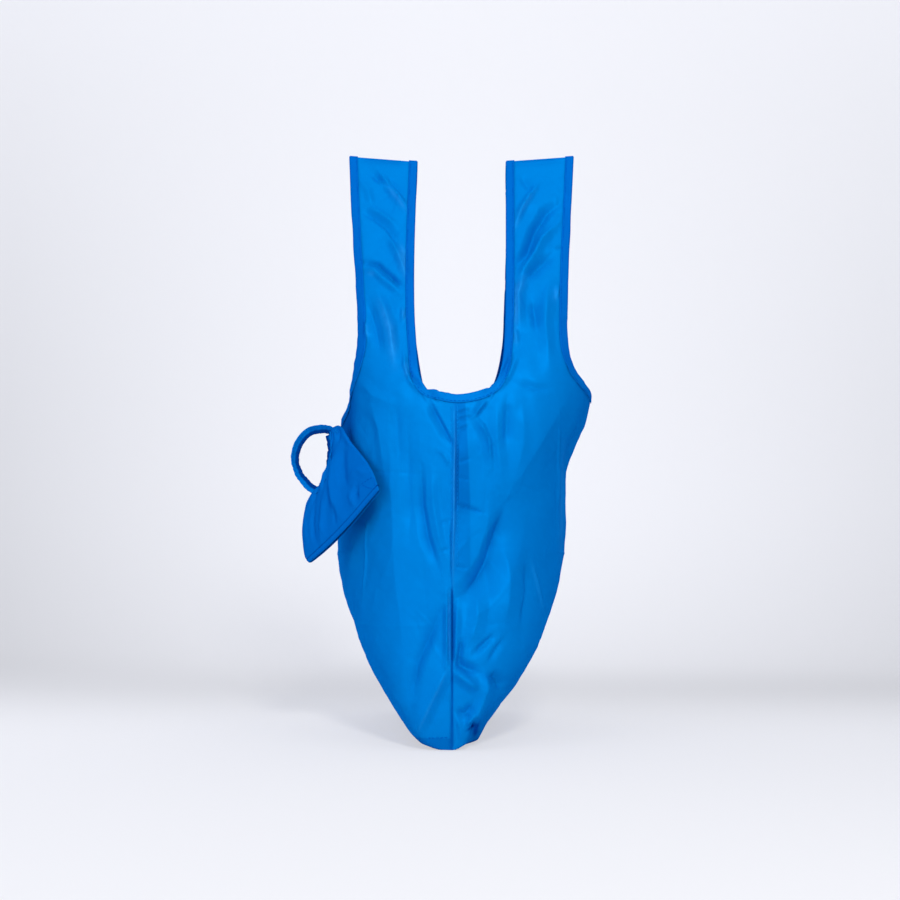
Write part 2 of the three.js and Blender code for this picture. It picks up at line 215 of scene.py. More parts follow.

# %% [markdown]
# ## Folds
# Smooth cloth tells little about itself. What makes it look like thin polyester is where it
# creases: puckers along the seam, a triangle folded into the boxed bottom, and slanting
# folds where the straps pull. Each fold is a short line on one face of the bag, with a
# height in millimetres (below zero it goes inwards) and a width. The form is moved along its
# normals by the sum of them all. The lines were chosen one by one.

# %% Fold tables
# Height, width, power and the points (x, z) of its line. Power 0 draws a tent: two flat
# slopes that meet in a crisp crease. Any other power draws a rounded swell, and a high one a
# flat-topped step. A last value is the width on the left of the line as it runs.
NEAR_FOLDS = [
    # seam: it stands proud, with a ridge and a groove beside the sewn line
    (2.6, 16, 1.3, [(3, 336), (3, 270), (3, 202), (1, 154)], 12),
    (3.4, 3, 0, [(4, 335), (5, 300), (4, 261), (4, 222), (2, 183), (2, 154)], 2),
    (-3.6, 1.3, 0, [(7, 294), (7, 261), (7, 233)]),
    (-2.8, 1.2, 0, [(1, 222), (1, 190), (1, 158)]),
    # felled band on its right, flat and gathered by short pleats
    (0.7, 6.5, 4, [(14, 330), (14, 280), (14, 237)]),
    (0.35, 6.5, 4, [(14, 231), (13, 197), (12, 163)]),
    (-1.8, 2.6, 0, [(8, 327), (20, 330)], 1.4),
    (-2.0, 2.6, 0, [(8, 320), (22, 324)], 1.4),
    (-1.6, 2.4, 0, [(8, 309), (18, 314)], 1.6),
    (-1.6, 3, 0, [(8, 278), (20, 282)], 1.6),
    (-1.4, 3, 0, [(8, 264), (19, 261)], 1.6),
    (-3.1, 2.4, 0, [(7, 236), (20, 233), (33, 228)], 4),
    (-1.8, 2, 0, [(5, 177), (18, 174)], 4),
    (-2.0, 3, 0, [(2, 297), (-3, 303)], 1.6),
    (-1.6, 2, 0, [(-1, 222), (-9, 218)], 3),
    (-1.6, 2, 0, [(-1, 194), (-12, 190)], 3),
    # dart and forked fold under the neck
    (-5.0, 9, 0, [(-20, 339), (-9, 318), (2, 297)], 2.2),
    (2.2, 3, 0, [(-12, 289), (-6, 285), (0, 274)], 5),
    (5.9, 6, 0, [(36, 338), (30, 331), (24, 323)], 3),
    (5.4, 8, 0, [(24, 323), (32, 313), (38, 300), (40, 272)], 3.5),
    (-3.6, 5, 0, [(56, 341), (56, 320), (55, 294)], 8),
    (3.1, 10, 0, [(46, 335), (46, 300), (49, 260)], 8),
    (2.2, 8, 0, [(72, 339), (70, 300), (60, 262)], 8),
    # plane break from the strap's root, and the fold and cone below it
    (7.5, 34, 0, [(113, 336), (92, 308), (77, 284), (62, 260), (56, 235)], 30),
    (-11.7, 13, 0, [(55, 235), (49, 212), (39, 182), (29, 166), (16, 152), (6, 146)], 24),
    (7.2, 16, 0, [(54, 197), (56, 162), (52, 119)], 22),
    (3.6, 10, 0, [(27, 154), (26, 125), (19, 97)], 12),
    (-3.6, 6, 0, [(73, 181), (78, 151), (70, 115)], 10),
    # pressed creases left from folding the bag away
    (2.0, 2.5, 0, [(108, 333), (109, 270), (110, 209), (111, 161)], 1.6),
    (1.8, 2.4, 0, [(80, 182), (89, 154), (98, 120)], 1.6),
    (1.8, 1.8, 0, [(-83, 220), (-86, 180), (-88, 140)], 2.4),
    (-0.4, 3, 0, [(-108, 270), (-10, 266)], 3),
    (0.4, 3, 0, [(-109, 114), (-49, 118), (-5, 123)], 3),
    (-0.4, 3, 0, [(12, 118), (59, 122), (102, 108)], 3),
    # long folds on the left
    (-5.4, 9, 0, [(-28, 274), (-28, 255), (-28, 235), (-22, 204), (-10, 173)], 5),
    (3.6, 8, 0, [(-18, 270), (-16, 236), (-10, 202), (-3, 183)], 6),
    (6.1, 34, 0, [(-59, 300), (-55, 241), (-52, 172), (-45, 86)], 26),
    (-3.6, 9, 0, [(-42, 320), (-41, 260), (-39, 202)], 12),
    (-5.0, 12, 0, [(-4, 144), (-18, 116), (-32, 85), (-39, 40)], 9),
    (3.6, 8, 0, [(-78, 340), (-68, 310), (-64, 270)], 12),
    (-2.8, 8, 0, [(-54, 341), (-52, 310), (-49, 270)], 8),
    # deep pucker of the lower seam
    (-2.0, 3.0, 0, [(2, 154), (2, 130), (2, 106), (2, 80)], 3.0),
    (5.9, 5, 0, [(-3, 150), (-3, 116), (-3, 81)], 2),
    (3.6, 2.4, 0, [(7, 144), (6, 116), (5, 83)], 6),
    (-4.0, 3, 0, [(11, 106), (8, 83)], 5),
    (-1.8, 1.2, 0, [(0, 58), (1, 30), (1, 5)]),
    # triangle and hollows of the boxed bottom
    (6.5, 15, 0, [(-2, 80), (-18, 47), (-33, 14)], 9),
    (6.8, 8, 0, [(1, 78), (15, 67), (30, 57)], 9),
    (-5.9, 7, 0, [(2, 87), (16, 79), (29, 75)], 8),
    (6.5, 8, 0, [(35, 75), (35, 59), (31, 46), (26, 34), (14, 24)], 12),
    (-6.5, 6, 0, [(38, 74), (47, 67), (53, 56)], 10),
    (-4.5, 7, 0, [(5, 37), (15, 36), (23, 45)], 7),
    (-10.8, 5, 0, [(24, 30), (23, 20), (21, 10)], 3.4),
    (4.5, 4, 0, [(15, 25), (23, 32)], 2),
    (-3.6, 3.5, 0, [(44, 112), (34, 103), (23, 94)], 6),
    (-2.8, 4, 0, [(55, 109), (45, 96), (36, 83)], 6),
    (2.8, 6, 0, [(12, 6), (10, 20), (6, 34)], 4),
    # left strap
    (6.1, 8, 0, [(-77, 584), (-62, 565), (-43, 539)], 4.5),
    (-5.4, 5, 0, [(-83, 578), (-68, 568), (-54, 560)], 9),
    (2.8, 6, 0, [(-96, 574), (-85, 559), (-80, 541)], 6),
    (-4.0, 3, 0, [(-92, 536), (-78, 528), (-64, 517), (-55, 500)], 9),
    (4.0, 6, 0, [(-86, 541), (-72, 534), (-55, 521)], 5),
    (5.4, 6, 0, [(-63, 509), (-53, 488), (-44, 464)], 7),
    (-5.9, 7, 0, [(-90, 482), (-73, 478), (-64, 469), (-50, 457)], 4),
    (5.0, 4, 0, [(-88, 473), (-77, 470), (-67, 460), (-50, 448)], 9),
    (-3.1, 4, 0, [(-61, 466), (-50, 455)], 4),
    (6.8, 10, 0, [(-75, 450), (-66, 433), (-60, 413), (-56, 381)], 8),
    (-4.5, 7, 0, [(-84, 441), (-76, 415), (-70, 388)], 8),
    (2.8, 3, 0, [(-47, 433), (-48, 420)], 3),
    (2.8, 3, 0, [(-84, 419), (-83, 402)], 3),
    (-3.6, 3.5, 0, [(-43, 373), (-37, 361), (-26, 351)], 3),
    (4.0, 3, 0, [(-46, 388), (-45, 373), (-40, 359), (-30, 347)], 4),
    (2.8, 8, 0, [(-90, 360), (-75, 344), (-59, 337)], 8),
    # right strap
    (5.4, 6, 0, [(92, 569), (75, 541), (67, 522)], 5),
    (-2.8, 6, 0, [(73, 579), (81, 565), (86, 552)], 8),
    (-7.9, 9, 0, [(117, 547), (99, 535), (87, 515), (79, 491), (65, 474)], 8),
    (6.5, 7, 0, [(112, 524), (94, 504), (83, 483), (68, 462)], 8),
    (-5.0, 6, 0, [(104, 489), (89, 475), (77, 463)], 9),
    (-2.0, 2, 0, [(116, 535), (109, 533)], 2),
    (-2.0, 2, 0, [(115, 497), (107, 495)], 2),
    (6.1, 6, 0, [(75, 470), (69, 446), (69, 415)], 8),
    (2.8, 4, 0, [(65, 412), (67, 396)], 4),
    (-5.0, 7, 0, [(83, 441), (88, 410)], 9),
    (5.0, 10, 0, [(99, 462), (95, 420), (98, 370)], 10),
    (2.8, 3, 0, [(109, 456), (108, 443)], 3),
    (-3.6, 3, 0, [(63, 388), (54, 368), (43, 355)], 3),
    (3.6, 3, 0, [(67, 383), (58, 363), (47, 349)], 4),
    (-2.8, 5, 0, [(69, 359), (85, 351), (101, 350)], 6),
    # gathers where the neck's tape turns its two lower corners
    (-3.0, 2.0, 0, [(-27, 356), (-21, 350), (-12, 338)], 1.6),
    (2.5, 2.6, 0, [(-24, 360), (-16, 350), (-6, 341)], 2.0),
    (2.0, 2.4, 0, [(-36, 358), (-28, 348), (-20, 336)], 2.0),
    (-2.5, 2.0, 0, [(45, 362), (39, 352), (30, 342)], 1.6),
    (2.2, 2.4, 0, [(50, 360), (44, 350), (38, 338)], 2.0),
    (1.5, 1.8, 0, [(-2, 350), (-2, 338)], 1.6),
    (-1.5, 1.6, 0, [(8, 349), (9, 337)], 1.6),
]

# Sides: the line's points are (y, z), the same on the left and the right panel.
SIDE_FOLDS = [
    (2.6, 12.0, 1.4, [(-86, 372), (-78, 300), (-52, 225)]),
    (-2.8, 11.0, 1.4, [(-60, 352), (-52, 290), (-30, 210)]),
    (2.2, 10.0, 1.4, [(-22, 322), (-18, 250), (-12, 170)]),
    (-2.4, 11.0, 1.4, [(8, 312), (6, 250), (14, 180)]),
    (2.2, 10.0, 1.4, [(34, 330), (30, 262), (44, 170)]),
    (-2.4, 10.0, 1.4, [(60, 350), (56, 290), (40, 225)]),
    (2.6, 11.0, 1.4, [(88, 374), (80, 300), (58, 215)]),
    (3.4, 7.0, 1.2, [(-150, 30), (-110, 70), (-70, 130)]),
    (-3.2, 8.0, 1.3, [(-128, 18), (-92, 58), (-50, 110)]),
    (3.4, 7.0, 1.2, [(152, 28), (112, 74), (74, 126)]),
    (-3.0, 8.0, 1.3, [(126, 22), (88, 60), (44, 118)]),
    (2.4, 10.0, 1.4, [(-40, 60), (0, 96), (46, 62)]),
    (0.9, 1.6, 1.0, [(-2, 320), (-2, 200), (0, 60)]),
    (0.9, 1.6, 1.0, [(-120, 190), (0, 182), (120, 192)]),
]


def fold_heights(across, up, folds):
    """Sum of the folds at points given by a sideways place and a height."""
    total = np.zeros_like(across)
    for height, width, power, line, *other in folds:
        line = np.array(line, float)
        runs = np.linalg.norm(np.diff(line, axis=0), axis=1)
        done = run_along(line)
        reach = 4.5 * max([width] + other)
        near = ((across > line[:, 0].min() - reach) & (across < line[:, 0].max() + reach)
                & (up > line[:, 1].min() - reach) & (up < line[:, 1].max() + reach))
        if not near.any():
            continue
        xs, zs = across[near], up[near]
        best = np.full(xs.shape, 1e9)
        place = np.zeros(xs.shape)
        turned = np.zeros(xs.shape)
        for k, (a, b) in enumerate(zip(line[:-1], line[1:])):
            d = (b - a) / runs[k]
            t = np.clip((xs - a[0]) * d[0] + (zs - a[1]) * d[1], 0, runs[k])
            gap = np.hypot(xs - a[0] - d[0] * t, zs - a[1] - d[1] * t)
            closer = gap < best
            best = np.where(closer, gap, best)
            place = np.where(closer, done[k] + t, place)
            cross = d[0] * (zs - a[1]) - d[1] * (xs - a[0])
            turned = np.where(closer, cross, turned)
        share = place / done[-1]
        fade = 0.25 + 0.75 * step_up(np.minimum(share, 1 - share), 0, 0.3)
        spread = np.where(turned > 0, other[0], width) if other else width
        share = best / spread
        rise = np.exp(-(share**power)) if power else np.clip(1 - share, 0, 1) ** 1.25
        total[near] += height * fade * rise
    return total


# Painted pale highlights, for places where the taffeta catches a pale light, told like folds:
# how strong, how wide, the power and the points.
PAINTED_HIGHLIGHTS = [
    (0.6, 4.0, 1.4, [(-50, 500), (-46, 480), (-42, 462)], 3.0),
    (0.54, 3.4, 1.4, [(-71, 440), (-60, 412), (-55, 372)], 3.0),
    (0.36, 1.6, 1.4, [(-47, 432), (-46, 420)]),
    (0.3, 1.8, 1.4, [(-84, 418), (-83, 402)]),
    (0.36, 1.8, 1.4, [(-44, 378), (-43, 362)]),
    (0.3, 2.4, 1.4, [(-84, 470), (-76, 468)]),
    (0.42, 1.8, 1.4, [(-66, 565), (-52, 546), (-43, 534)]),
    (0.6, 4.0, 1.4, [(75, 466), (66, 444), (66, 412)], 3.0),
    (0.36, 2.0, 1.4, [(64, 410), (66, 394)]),
    (0.42, 2.4, 1.4, [(107, 454), (106, 440)]),
    (0.36, 1.8, 1.4, [(88, 558), (72, 534), (65, 512)]),
    (0.3, 2.5, 1.4, [(115, 300), (115, 250), (114, 205), (113, 168)]),
    (0.2, 1.2, 1.4, [(80, 182), (94, 128)]),
    (0.35, 0.9, 1.4, [(-2, 78), (-18, 46), (-34, 12)]),
    (0.5, 1.0, 1.4, [(4, 335), (5, 300), (4, 261), (4, 222), (3, 183), (3, 150)]),
    (0.5, 0.9, 1.4, [(-1, 152), (-1, 112), (0, 84)]),
]

# Painted shade where the cloth is tucked under itself and little light comes in, told the same way.
PAINTED_TUCK_SHADE = [
    (1.5, 4.4, 0, [(28, 27), (25, 19), (25, 8)]),
    (1.2, 2.2, 0, [(15, 19), (25, 24)]),
    (0.45, 5.0, 0, [(30, 74), (37, 70), (42, 60)]),
    (0.35, 3.0, 0, [(2, 84), (14, 76), (28, 60)]),
    (0.35, 2.6, 0, [(10, 38), (16, 34), (22, 33)]),
    (0.35, 6.0, 0, [(52, 236), (44, 212), (38, 186)]),
    (0.35, 4.0, 0, [(38, 182), (28, 166), (14, 152)]),
    (0.4, 2.0, 0, [(7, 236), (20, 233), (33, 228)]),
    (0.35, 3.0, 0, [(26, 318), (36, 304), (39, 284)]),
    (0.3, 2.0, 0, [(36, 338), (30, 331), (25, 322)]),
    (0.25, 5.0, 0, [(8, 327), (18, 326)]),
    (0.25, 6.0, 0, [(10, 268), (16, 262)]),
    (0.25, 4.0, 0, [(-28, 262), (-28, 240), (-24, 208), (-12, 176)]),
    (0.3, 9.0, 0, [(-14, 122), (-24, 96), (-36, 60)]),
    (0.3, 5.0, 0, [(90, 530), (80, 500), (66, 476)]),
    (0.3, 3.0, 0, [(-88, 480), (-72, 477), (-62, 467)]),
    (0.4, 9.0, 0, [(-98, 594), (-40, 590)]),
    (0.4, 9.0, 0, [(60, 590), (120, 594)]),
]

rng = np.random.default_rng(7)
# direction, phase and length of each wave of the limp cloth
WAVES = [
    (rng.normal(0, 1, 3), rng.uniform(0, 2 * math.pi), size)
    for size in (150, 120, 95, 70, 52, 38, 28, 20)
    for _ in range(3)
]


def random_creases(seed, count, box, height, width, length, lean):
    """Thin creases that folding the bag away has left, each one short and nearly straight."""
    dice = np.random.default_rng(seed)
    creases = []
    for _ in range(count):
        x, z = dice.uniform(box[0], box[1]), dice.uniform(box[2], box[3])
        turn = math.radians(90 + dice.normal(0, lean))
        half = 0.5 * dice.uniform(*length)
        bend = dice.normal(0, 0.12) * half
        way = np.array((math.cos(turn), math.sin(turn)))
        side = np.array((-way[1], way[0]))
        middle = np.array((x, z))
        line = [middle - way * half, middle + side * bend, middle + way * half]
        creases.append((dice.choice([1, -1]) * dice.uniform(*height), dice.uniform(*width), 0,
                        [tuple(p) for p in line], dice.uniform(2.5, 6.0)))
    return creases


NEAR_CREASES = random_creases(3, 50, (-100, 110, 20, 330), (0.2, 0.5), (1.6, 3.0), (18, 70), 30)
STRAP_CREASES = (
    random_creases(5, 22, (-96, -44, 380, 585), (0.2, 0.6), (1.6, 3.0), (12, 46), 44)
    + random_creases(6, 22, (64, 118, 380, 585), (0.2, 0.6), (1.6, 3.0), (12, 46), 44)
)
FAR_CREASES = random_creases(8, 60, (-100, 110, 20, 330), (0.3, 0.9), (2.0, 4.0), (20, 90), 34)
SIDE_CREASES = random_creases(9, 60, (-140, 140, 20, 320), (0.3, 0.9), (2.0, 4.0), (20, 90), 34)


def soft_waves(points):
    """Gentle unevenness of limp cloth, from a few slanted waves of different lengths."""
    total = np.zeros(points.shape[:-1])
    for direction, phase, size in WAVES:
        turn = points @ unit(direction) * (2 * math.pi / size) + phase
        total += np.sin(turn + 1.3 * np.sin(0.6 * turn + phase)) * (size / 150) ** 1.1
    return total


# The far side has the same folds, seen from behind and a little higher.
FAR_FOLD_LIFT = 6.0
WAVE_HEIGHT = 0.55


def relief(points):
    """How far the cloth stands out of the smooth form, in millimetres."""
    x, y, z = np.moveaxis(points, -1, 0)
    depth = section(z)[..., 2]
    facing = step_up(np.abs(y) / np.maximum(depth, 1), 0.25, 0.6)
    facing = np.where(z > BODY_HEIGHT + 20, 1.0, facing)
    near = np.where(y < 0, facing, 0.0)
    far = np.where(y > 0, facing, 0.0)
    out = near * fold_heights(x, z, NEAR_FOLDS + NEAR_CREASES + STRAP_CREASES)
    mirrored = SEAM_X * 2 - x
    far_folds = NEAR_FOLDS + FAR_CREASES + STRAP_CREASES
    out += far * fold_heights(mirrored, z - FAR_FOLD_LIFT, far_folds)
    sideways = step_up(np.abs(x - SEAM_X), 60, 95) * (1 - step_up(z, 330, 400))
    out += sideways * (1 - 0.8 * facing) * fold_heights(y, z, SIDE_FOLDS + SIDE_CREASES)
    calm = step_up(z, 0, 25) * (1 - 0.6 * step_up(z, 560, 596))
    out += WAVE_HEIGHT * calm * soft_waves(points)
    # flatter at the floor, and quite flat where the handles fold over
    return out * (0.4 + 0.6 * step_up(z, 0, 26)) * (1 - step_up(z, 590, 596))


# The fold of each handle sags a little towards the neck: this much at its inner edge, at x
# 59 on the right and -39 on the left, and nothing at its outer edge.
FOLD_SAG = 5.0


def cloth(angle, z):
    """The finished surface of the cloth and its smooth normals."""
    base = on_form(angle, z)
    normal = form_normal(base)
    points = base + normal * relief(base)[..., None]
    inner = np.where(base[..., 0] > SEAM_X, (128 - base[..., 0]) / 69, (base[..., 0] + 104) / 65)
    points[..., 2] -= FOLD_SAG * np.clip(inner, 0, 1) * step_up(z, 500, 596)
    return points, normal


# %% [markdown]
# ## Cut edges
# The neck and the side openings are cut out of the cloth. Seen from the front each is one
# line, in x and in height, that is the same for the near and the far side of the bag.

# %% Outlines of the cut edges
NECK_LINE = [
    (-34.5, 604), (-36.5, 528), (-37.2, 480), (-36.6, 430), (-34.4, 396), (-32.6, 374),
    (-29.5, 360), (-23, 351.5), (-14, 348.6), (5, 344.5), (22, 346.3), (36, 350.5),
    (46, 358.5), (52, 374), (55, 400), (57, 450), (58.2, 528), (59.2, 604),
]
LEFT_LINE = [
    (-104.6, 604), (-100, 527), (-96, 470), (-93, 430), (-91.6, 400), (-93.5, 376),
    (-98.5, 354), (-104, 336), (-109.5, 322), (-113, 317),
]
RIGHT_LINE = [
    (128.6, 604), (124.2, 539), (120.5, 491), (118, 440), (117.6, 412), (118.8, 390),
    (124, 373), (134, 359.5), (143, 351.5), (150.2, 346),
]
LINE_STEP = 3.0


def smooth_line(points, step=LINE_STEP):
    """A smooth line through the points, with even steps."""
    points = np.array(points, float)
    last = len(points) - 1
    fine = []
    for i in range(last):
        p0, p1 = points[max(i - 1, 0)], points[i]
        p2, p3 = points[i + 1], points[min(i + 2, last)]
        t = np.linspace(0, 1, 40, endpoint=False)[:, None]
        fine.append(0.5 * (2 * p1 + (p2 - p0) * t + (2 * p0 - 5 * p1 + 4 * p2 - p3) * t**2
                           + (3 * p1 - p0 - 3 * p2 + p3) * t**3))
    fine = np.vstack(fine + [points[-1:]])
    run = run_along(fine)
    return at_run(np.linspace(0, run[-1], max(int(run[-1] / step), 4)), run, fine)


def beyond(points, line, into):
    """How far points (x, z) lie inside the cloth from a cut line, below zero outside."""
    line = smooth_line(line)
    best = np.full(len(points), 1e9)
    sign = np.ones(len(points))
    for a, b in zip(line[:-1], line[1:]):
        d = b - a
        length = np.linalg.norm(d)
        d = d / length
        away = points - a
        t = np.clip(away @ d, 0, length)
        gap = away - t[:, None] * d
        size = np.linalg.norm(gap, axis=1)
        closer = size < best
        best = np.where(closer, size, best)
        cross = d[0] * away[:, 1] - d[1] * away[:, 0]
        sign = np.where(closer, np.where(cross * into >= 0, 1.0, -1.0), sign)
    return best * sign


def set_back(z):
    """The far straps' inner edges lie a little further apart than the near ones'."""
    return 2.4 * step_up(z, 366, 410) * (1 - step_up(z, 510, 590))


def inside_cloth(points):
    """Distance inside all three cut lines at points of the form."""
    flat = points[..., [0, 2]].reshape(-1, 2)
    high = flat[:, 1] > 300
    far = (points[..., 1] > 0).reshape(-1)[high]
    out = np.full(len(flat), 50.0)
    some = flat[high]
    neck = beyond(some, NECK_LINE, -1) - set_back(some[:, 1]) * far
    left = beyond(some, LEFT_LINE + [(-120, 315.5), (-134, 315.5), (-200, 315.5)], 1)
    right = beyond(some, RIGHT_LINE + [(157, 344.5), (171, 344.5), (240, 344.5)], -1)
    out[high] = np.minimum(neck, np.minimum(left, right))
    return out.reshape(points.shape[:-1])


print("neck line", len(smooth_line(NECK_LINE)), "points")

# %% [markdown]
# ## Mesh helpers
# One function makes an object from points and faces, hangs it on the root and hides the fixed
# piece it stands for, one turns the faces of a mesh outwards, and one lists the faces of a grid
# of points.

# %% Mesh functions


def make_piece(name, points, faces, node=None, double_cloth_and_painted_shade=None, painted_highlight=None):
    """A smooth mesh object at the origin, with its place in its mesh."""
    mesh = bpy.data.meshes.new(name)
    mesh.from_pydata([tuple(p) for p in np.asarray(points) * MM], [], [tuple(f) for f in faces])
    mesh.update()
    piece = bpy.data.objects.new(name, mesh)
    bpy.context.scene.collection.objects.link(piece)
    for label, values in (("double_cloth_and_painted_shade", double_cloth_and_painted_shade), ("painted_highlight", painted_highlight)):
        if values is not None:
            attribute = mesh.attributes.new(label, "FLOAT", "POINT")
            attribute.data.foreach_set("value", np.asarray(values, np.float32))
    mesh.polygons.foreach_set("use_smooth", [True] * len(mesh.polygons))
    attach(piece, ROOT)
    if node:
        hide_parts(node)
    return piece


def active(piece):
    """Make one piece the only selected one, ready for an operator."""
    bpy.ops.object.select_all(action="DESELECT")
    piece.select_set(True)
    bpy.context.view_layer.objects.active = piece


def clean_mesh(piece, merge=None):
    """Join points that lie closer than merge, if it is given, and turn the faces one way."""
    active(piece)
    bpy.ops.object.mode_set(mode="EDIT")
    bpy.ops.mesh.select_all(action="SELECT")
    if merge:
        bpy.ops.mesh.remove_doubles(threshold=merge * MM)
        bpy.ops.mesh.delete_loose()
        bpy.ops.mesh.select_all(action="SELECT")
    bpy.ops.mesh.normals_make_consistent(inside=False)
    bpy.ops.object.mode_set(mode="OBJECT")


def grid_faces(rows, columns, keep=None, ring=False, closed=False):
    """Faces of a grid of points. keep says which points may be used. A ring joins its last
    column to its first, and a closed grid its last row to its first."""
    faces = []
    for r in range(rows if closed else rows - 1):
        s = (r + 1) % rows
        for c in range(columns if ring else columns - 1):
            d = (c + 1) % columns
            quad = (r * columns + c, r * columns + d, s * columns + d, s * columns + c)
            if keep is None or all(keep[i] for i in quad):
                faces.append(quad)
    return faces


# %% [markdown]
# ## Colours and finishes
# Colours are written as the sRGB hex values that a picture editor shows, and one function
# turns them to the linear numbers that Blender works with.

# %% Material helpers


def colour(text):
    """Linear red, green, blue and alpha of an sRGB hex value."""
    values = [int(text[i:i + 2], 16) / 255 for i in (1, 3, 5)]
    linear = [v / 12.92 if v <= 0.04045 else ((v + 0.055) / 1.055) ** 2.4 for v in values]
    return (*linear, 1.0)


def add_node(tree, kind, links=None, **settings):
    """Add a node, set its properties or sockets by name, and link its inputs."""
    node = tree.nodes.new(kind)
    for key, value in settings.items():
        if hasattr(node, key):
            setattr(node, key, value)
        else:
            node.inputs[key.replace("_", " ")].default_value = value
    for socket, source in (links or {}).items():
        tree.links.new(source, node.inputs[socket])  # a name or a place in the list
    return node


# %% [markdown]
# ## Polyester taffeta
# The cloth is a plain weave of fine bright polyester yarn, dyed in one strong blue and
# pressed smooth. It has a soft sheen that is tinted with the dye, and hardly any white gloss,
# so the material has a little of a metal's coloured reflection and no plain one. The real
# yarns are 0.2 mm apart and can't show at this size, so the weave is drawn at 1.1 mm and very
# shallow. Two attributes of the mesh change the colour. One gives the deeper colour where the
# cloth lies double, and also paints shade where the cloth is in its own shadow. The other
# paints a pale highlight along pressed creases, where the taffeta would catch a pale light.

# %% Cloth material
YARN_MM = 1.1
# At a scale of 1 the wave texture repeats after 2 pi / 20 of a metre, and one wave is two
# yarns, one over and one under.
WEAVE_SCALE = math.pi / 20 / (YARN_MM * MM)


def mix_colours(tree, share, first, second):
    """The first colour, a hex value or a socket, turning into the second, a hex value."""
    mix = add_node(tree, "ShaderNodeMix", {"Factor": share}, data_type="RGBA")
    if isinstance(first, str):
        mix.inputs["A"].default_value = colour(first)
    else:
        tree.links.new(first, mix.inputs["A"])
    mix.inputs["B"].default_value = colour(second)
    return mix.outputs["Result"]


def cloth_material(name, base, shade, double_cloth_and_shade_colour, roughness=0.5):
    material = bpy.data.materials.new(name)
    material.use_nodes = True
    tree = material.node_tree
    tree.nodes.clear()
    place = add_node(tree, "ShaderNodeTexCoord").outputs["Object"]
    # this attribute deepens the colour of double cloth and also paints shade
    double_cloth_and_painted_shade = add_node(tree, "ShaderNodeAttribute", attribute_name="double_cloth_and_painted_shade").outputs["Fac"]
    # this attribute paints a pale highlight along pressed creases
    painted_highlight = add_node(tree, "ShaderNodeAttribute", attribute_name="painted_highlight").outputs["Fac"]
    # colour: a little cloudy, deeper in double layers, pale and streaky in the shine
    cloudy = add_node(tree, "ShaderNodeTexNoise", {"Vector": place}, Scale=9.0, Detail=3.0,
                      Roughness=0.55)
    streaky = add_node(tree, "ShaderNodeTexNoise", {"Vector": place}, Scale=160.0, Detail=2.0)
    streaks = add_node(tree, "ShaderNodeMath", {0: painted_highlight, 1: streaky.outputs["Fac"]},
                       operation="MULTIPLY")
    # colour: a little cloudy, deeper in double layers and in painted shade, and with a painted pale
    # highlight, streaky, along pressed creases
    tone = mix_colours(tree, cloudy.outputs["Fac"], shade, base)
    deep = mix_colours(tree, double_cloth_and_painted_shade, tone, double_cloth_and_shade_colour)
    pale = mix_colours(tree, streaks.outputs[0], deep, "#38A6EE")
    # surface: the weave, and a soft crumple on top of it
    threads = [
        add_node(tree, "ShaderNodeTexWave", {"Vector": place}, bands_direction=direction,
                 Scale=WEAVE_SCALE, Distortion=0.6, Detail=1.0)
        for direction in ("X", "Z")
    ]
    weave = add_node(tree, "ShaderNodeMath", {k: threads[k].outputs["Fac"] for k in (0, 1)},
                     operation="MULTIPLY")
    wrinkle = add_node(tree, "ShaderNodeTexNoise", {"Vector": place}, Scale=55.0, Detail=3.0)
    bump = add_node(tree, "ShaderNodeBump", {"Height": weave.outputs[0]}, Strength=0.12,
                    Distance=0.0002)
    crumple = add_node(tree, "ShaderNodeBump",
                       {"Height": wrinkle.outputs["Fac"], "Normal": bump.outputs["Normal"]},
                       Strength=0.10, Distance=0.002)
    skin = add_node(tree, "ShaderNodeBsdfPrincipled",
                    {"Base Color": pale, "Normal": crumple.outputs["Normal"]},
                    Roughness=roughness, Metallic=0.12, Specular_IOR_Level=0.0,
                    Specular_Tint=colour("#1E96FF"))
    add_node(tree, "ShaderNodeOutputMaterial", {"Surface": skin.outputs["BSDF"]})
    return material


panel_taffeta = cloth_material("polyester_taffeta", "#007FCA", "#0079C3", "#004E9E")
# the pouch is the same taffeta, made darker here as painted shade for its face turned away from the
# light
pouch_taffeta_painted_shade = cloth_material("pouch_taffeta_painted_shade", "#006EC0", "#0066B6", "#003484")
tape_taffeta = cloth_material("folded_taffeta_tape", "#0078C8", "#0073C2", "#0067BA", 0.58)
ribbon_weave = cloth_material("woven_ribbon", "#007CCC", "#0070C0", "#003C86", 0.58)
pale_thread = cloth_material("pale_thread", "#0A8AD6", "#0880CC", "#0A7CC8", 0.6)
thread_finish = cloth_material("polyester_thread", "#0060BC", "#0058B2", "#0050A6", 0.7)
print("materials", [m.name for m in bpy.data.materials])

# %% [markdown]
# ## The two panels
# Each panel is one cut piece of cloth: half of the boxed bottom, half of the body and one
# handle with its two straps. It could be simulated, but the folds would then fall anywhere.
# Here it is lofted: a grid of points is laid on the form, from the seam at one end round to
# the seam at the other, and the parts outside the cut lines are left out. Points next to a
# cut line are moved onto it, so that the tape has a clean edge to sit on.

# %% Panel grid
PANEL_WIDTH = 435.0  # half the way round the bag
NEAR_STEP = 1.35  # grid step along the cloth on the near side
FAR_STEP = 2.5
ROW_STEP = 1.6
BOTTOM_ROWS = 12
EDGE_INSIDE_TAPE = 1.2


def quarter_angles(z, columns, right):
    """Angles from the side to the seam that give even steps along the cloth at height z."""
    fine = np.linspace(0, math.pi / 2, 260)
    points = on_form(-fine if right else math.pi + fine, np.full(fine.shape, z))
    run = run_along(points)
    share = 1 - (1 - np.linspace(0, 1, columns + 1)) ** 1.22  # closer together at the seam
    return np.interp(share * run[-1], run, fine)


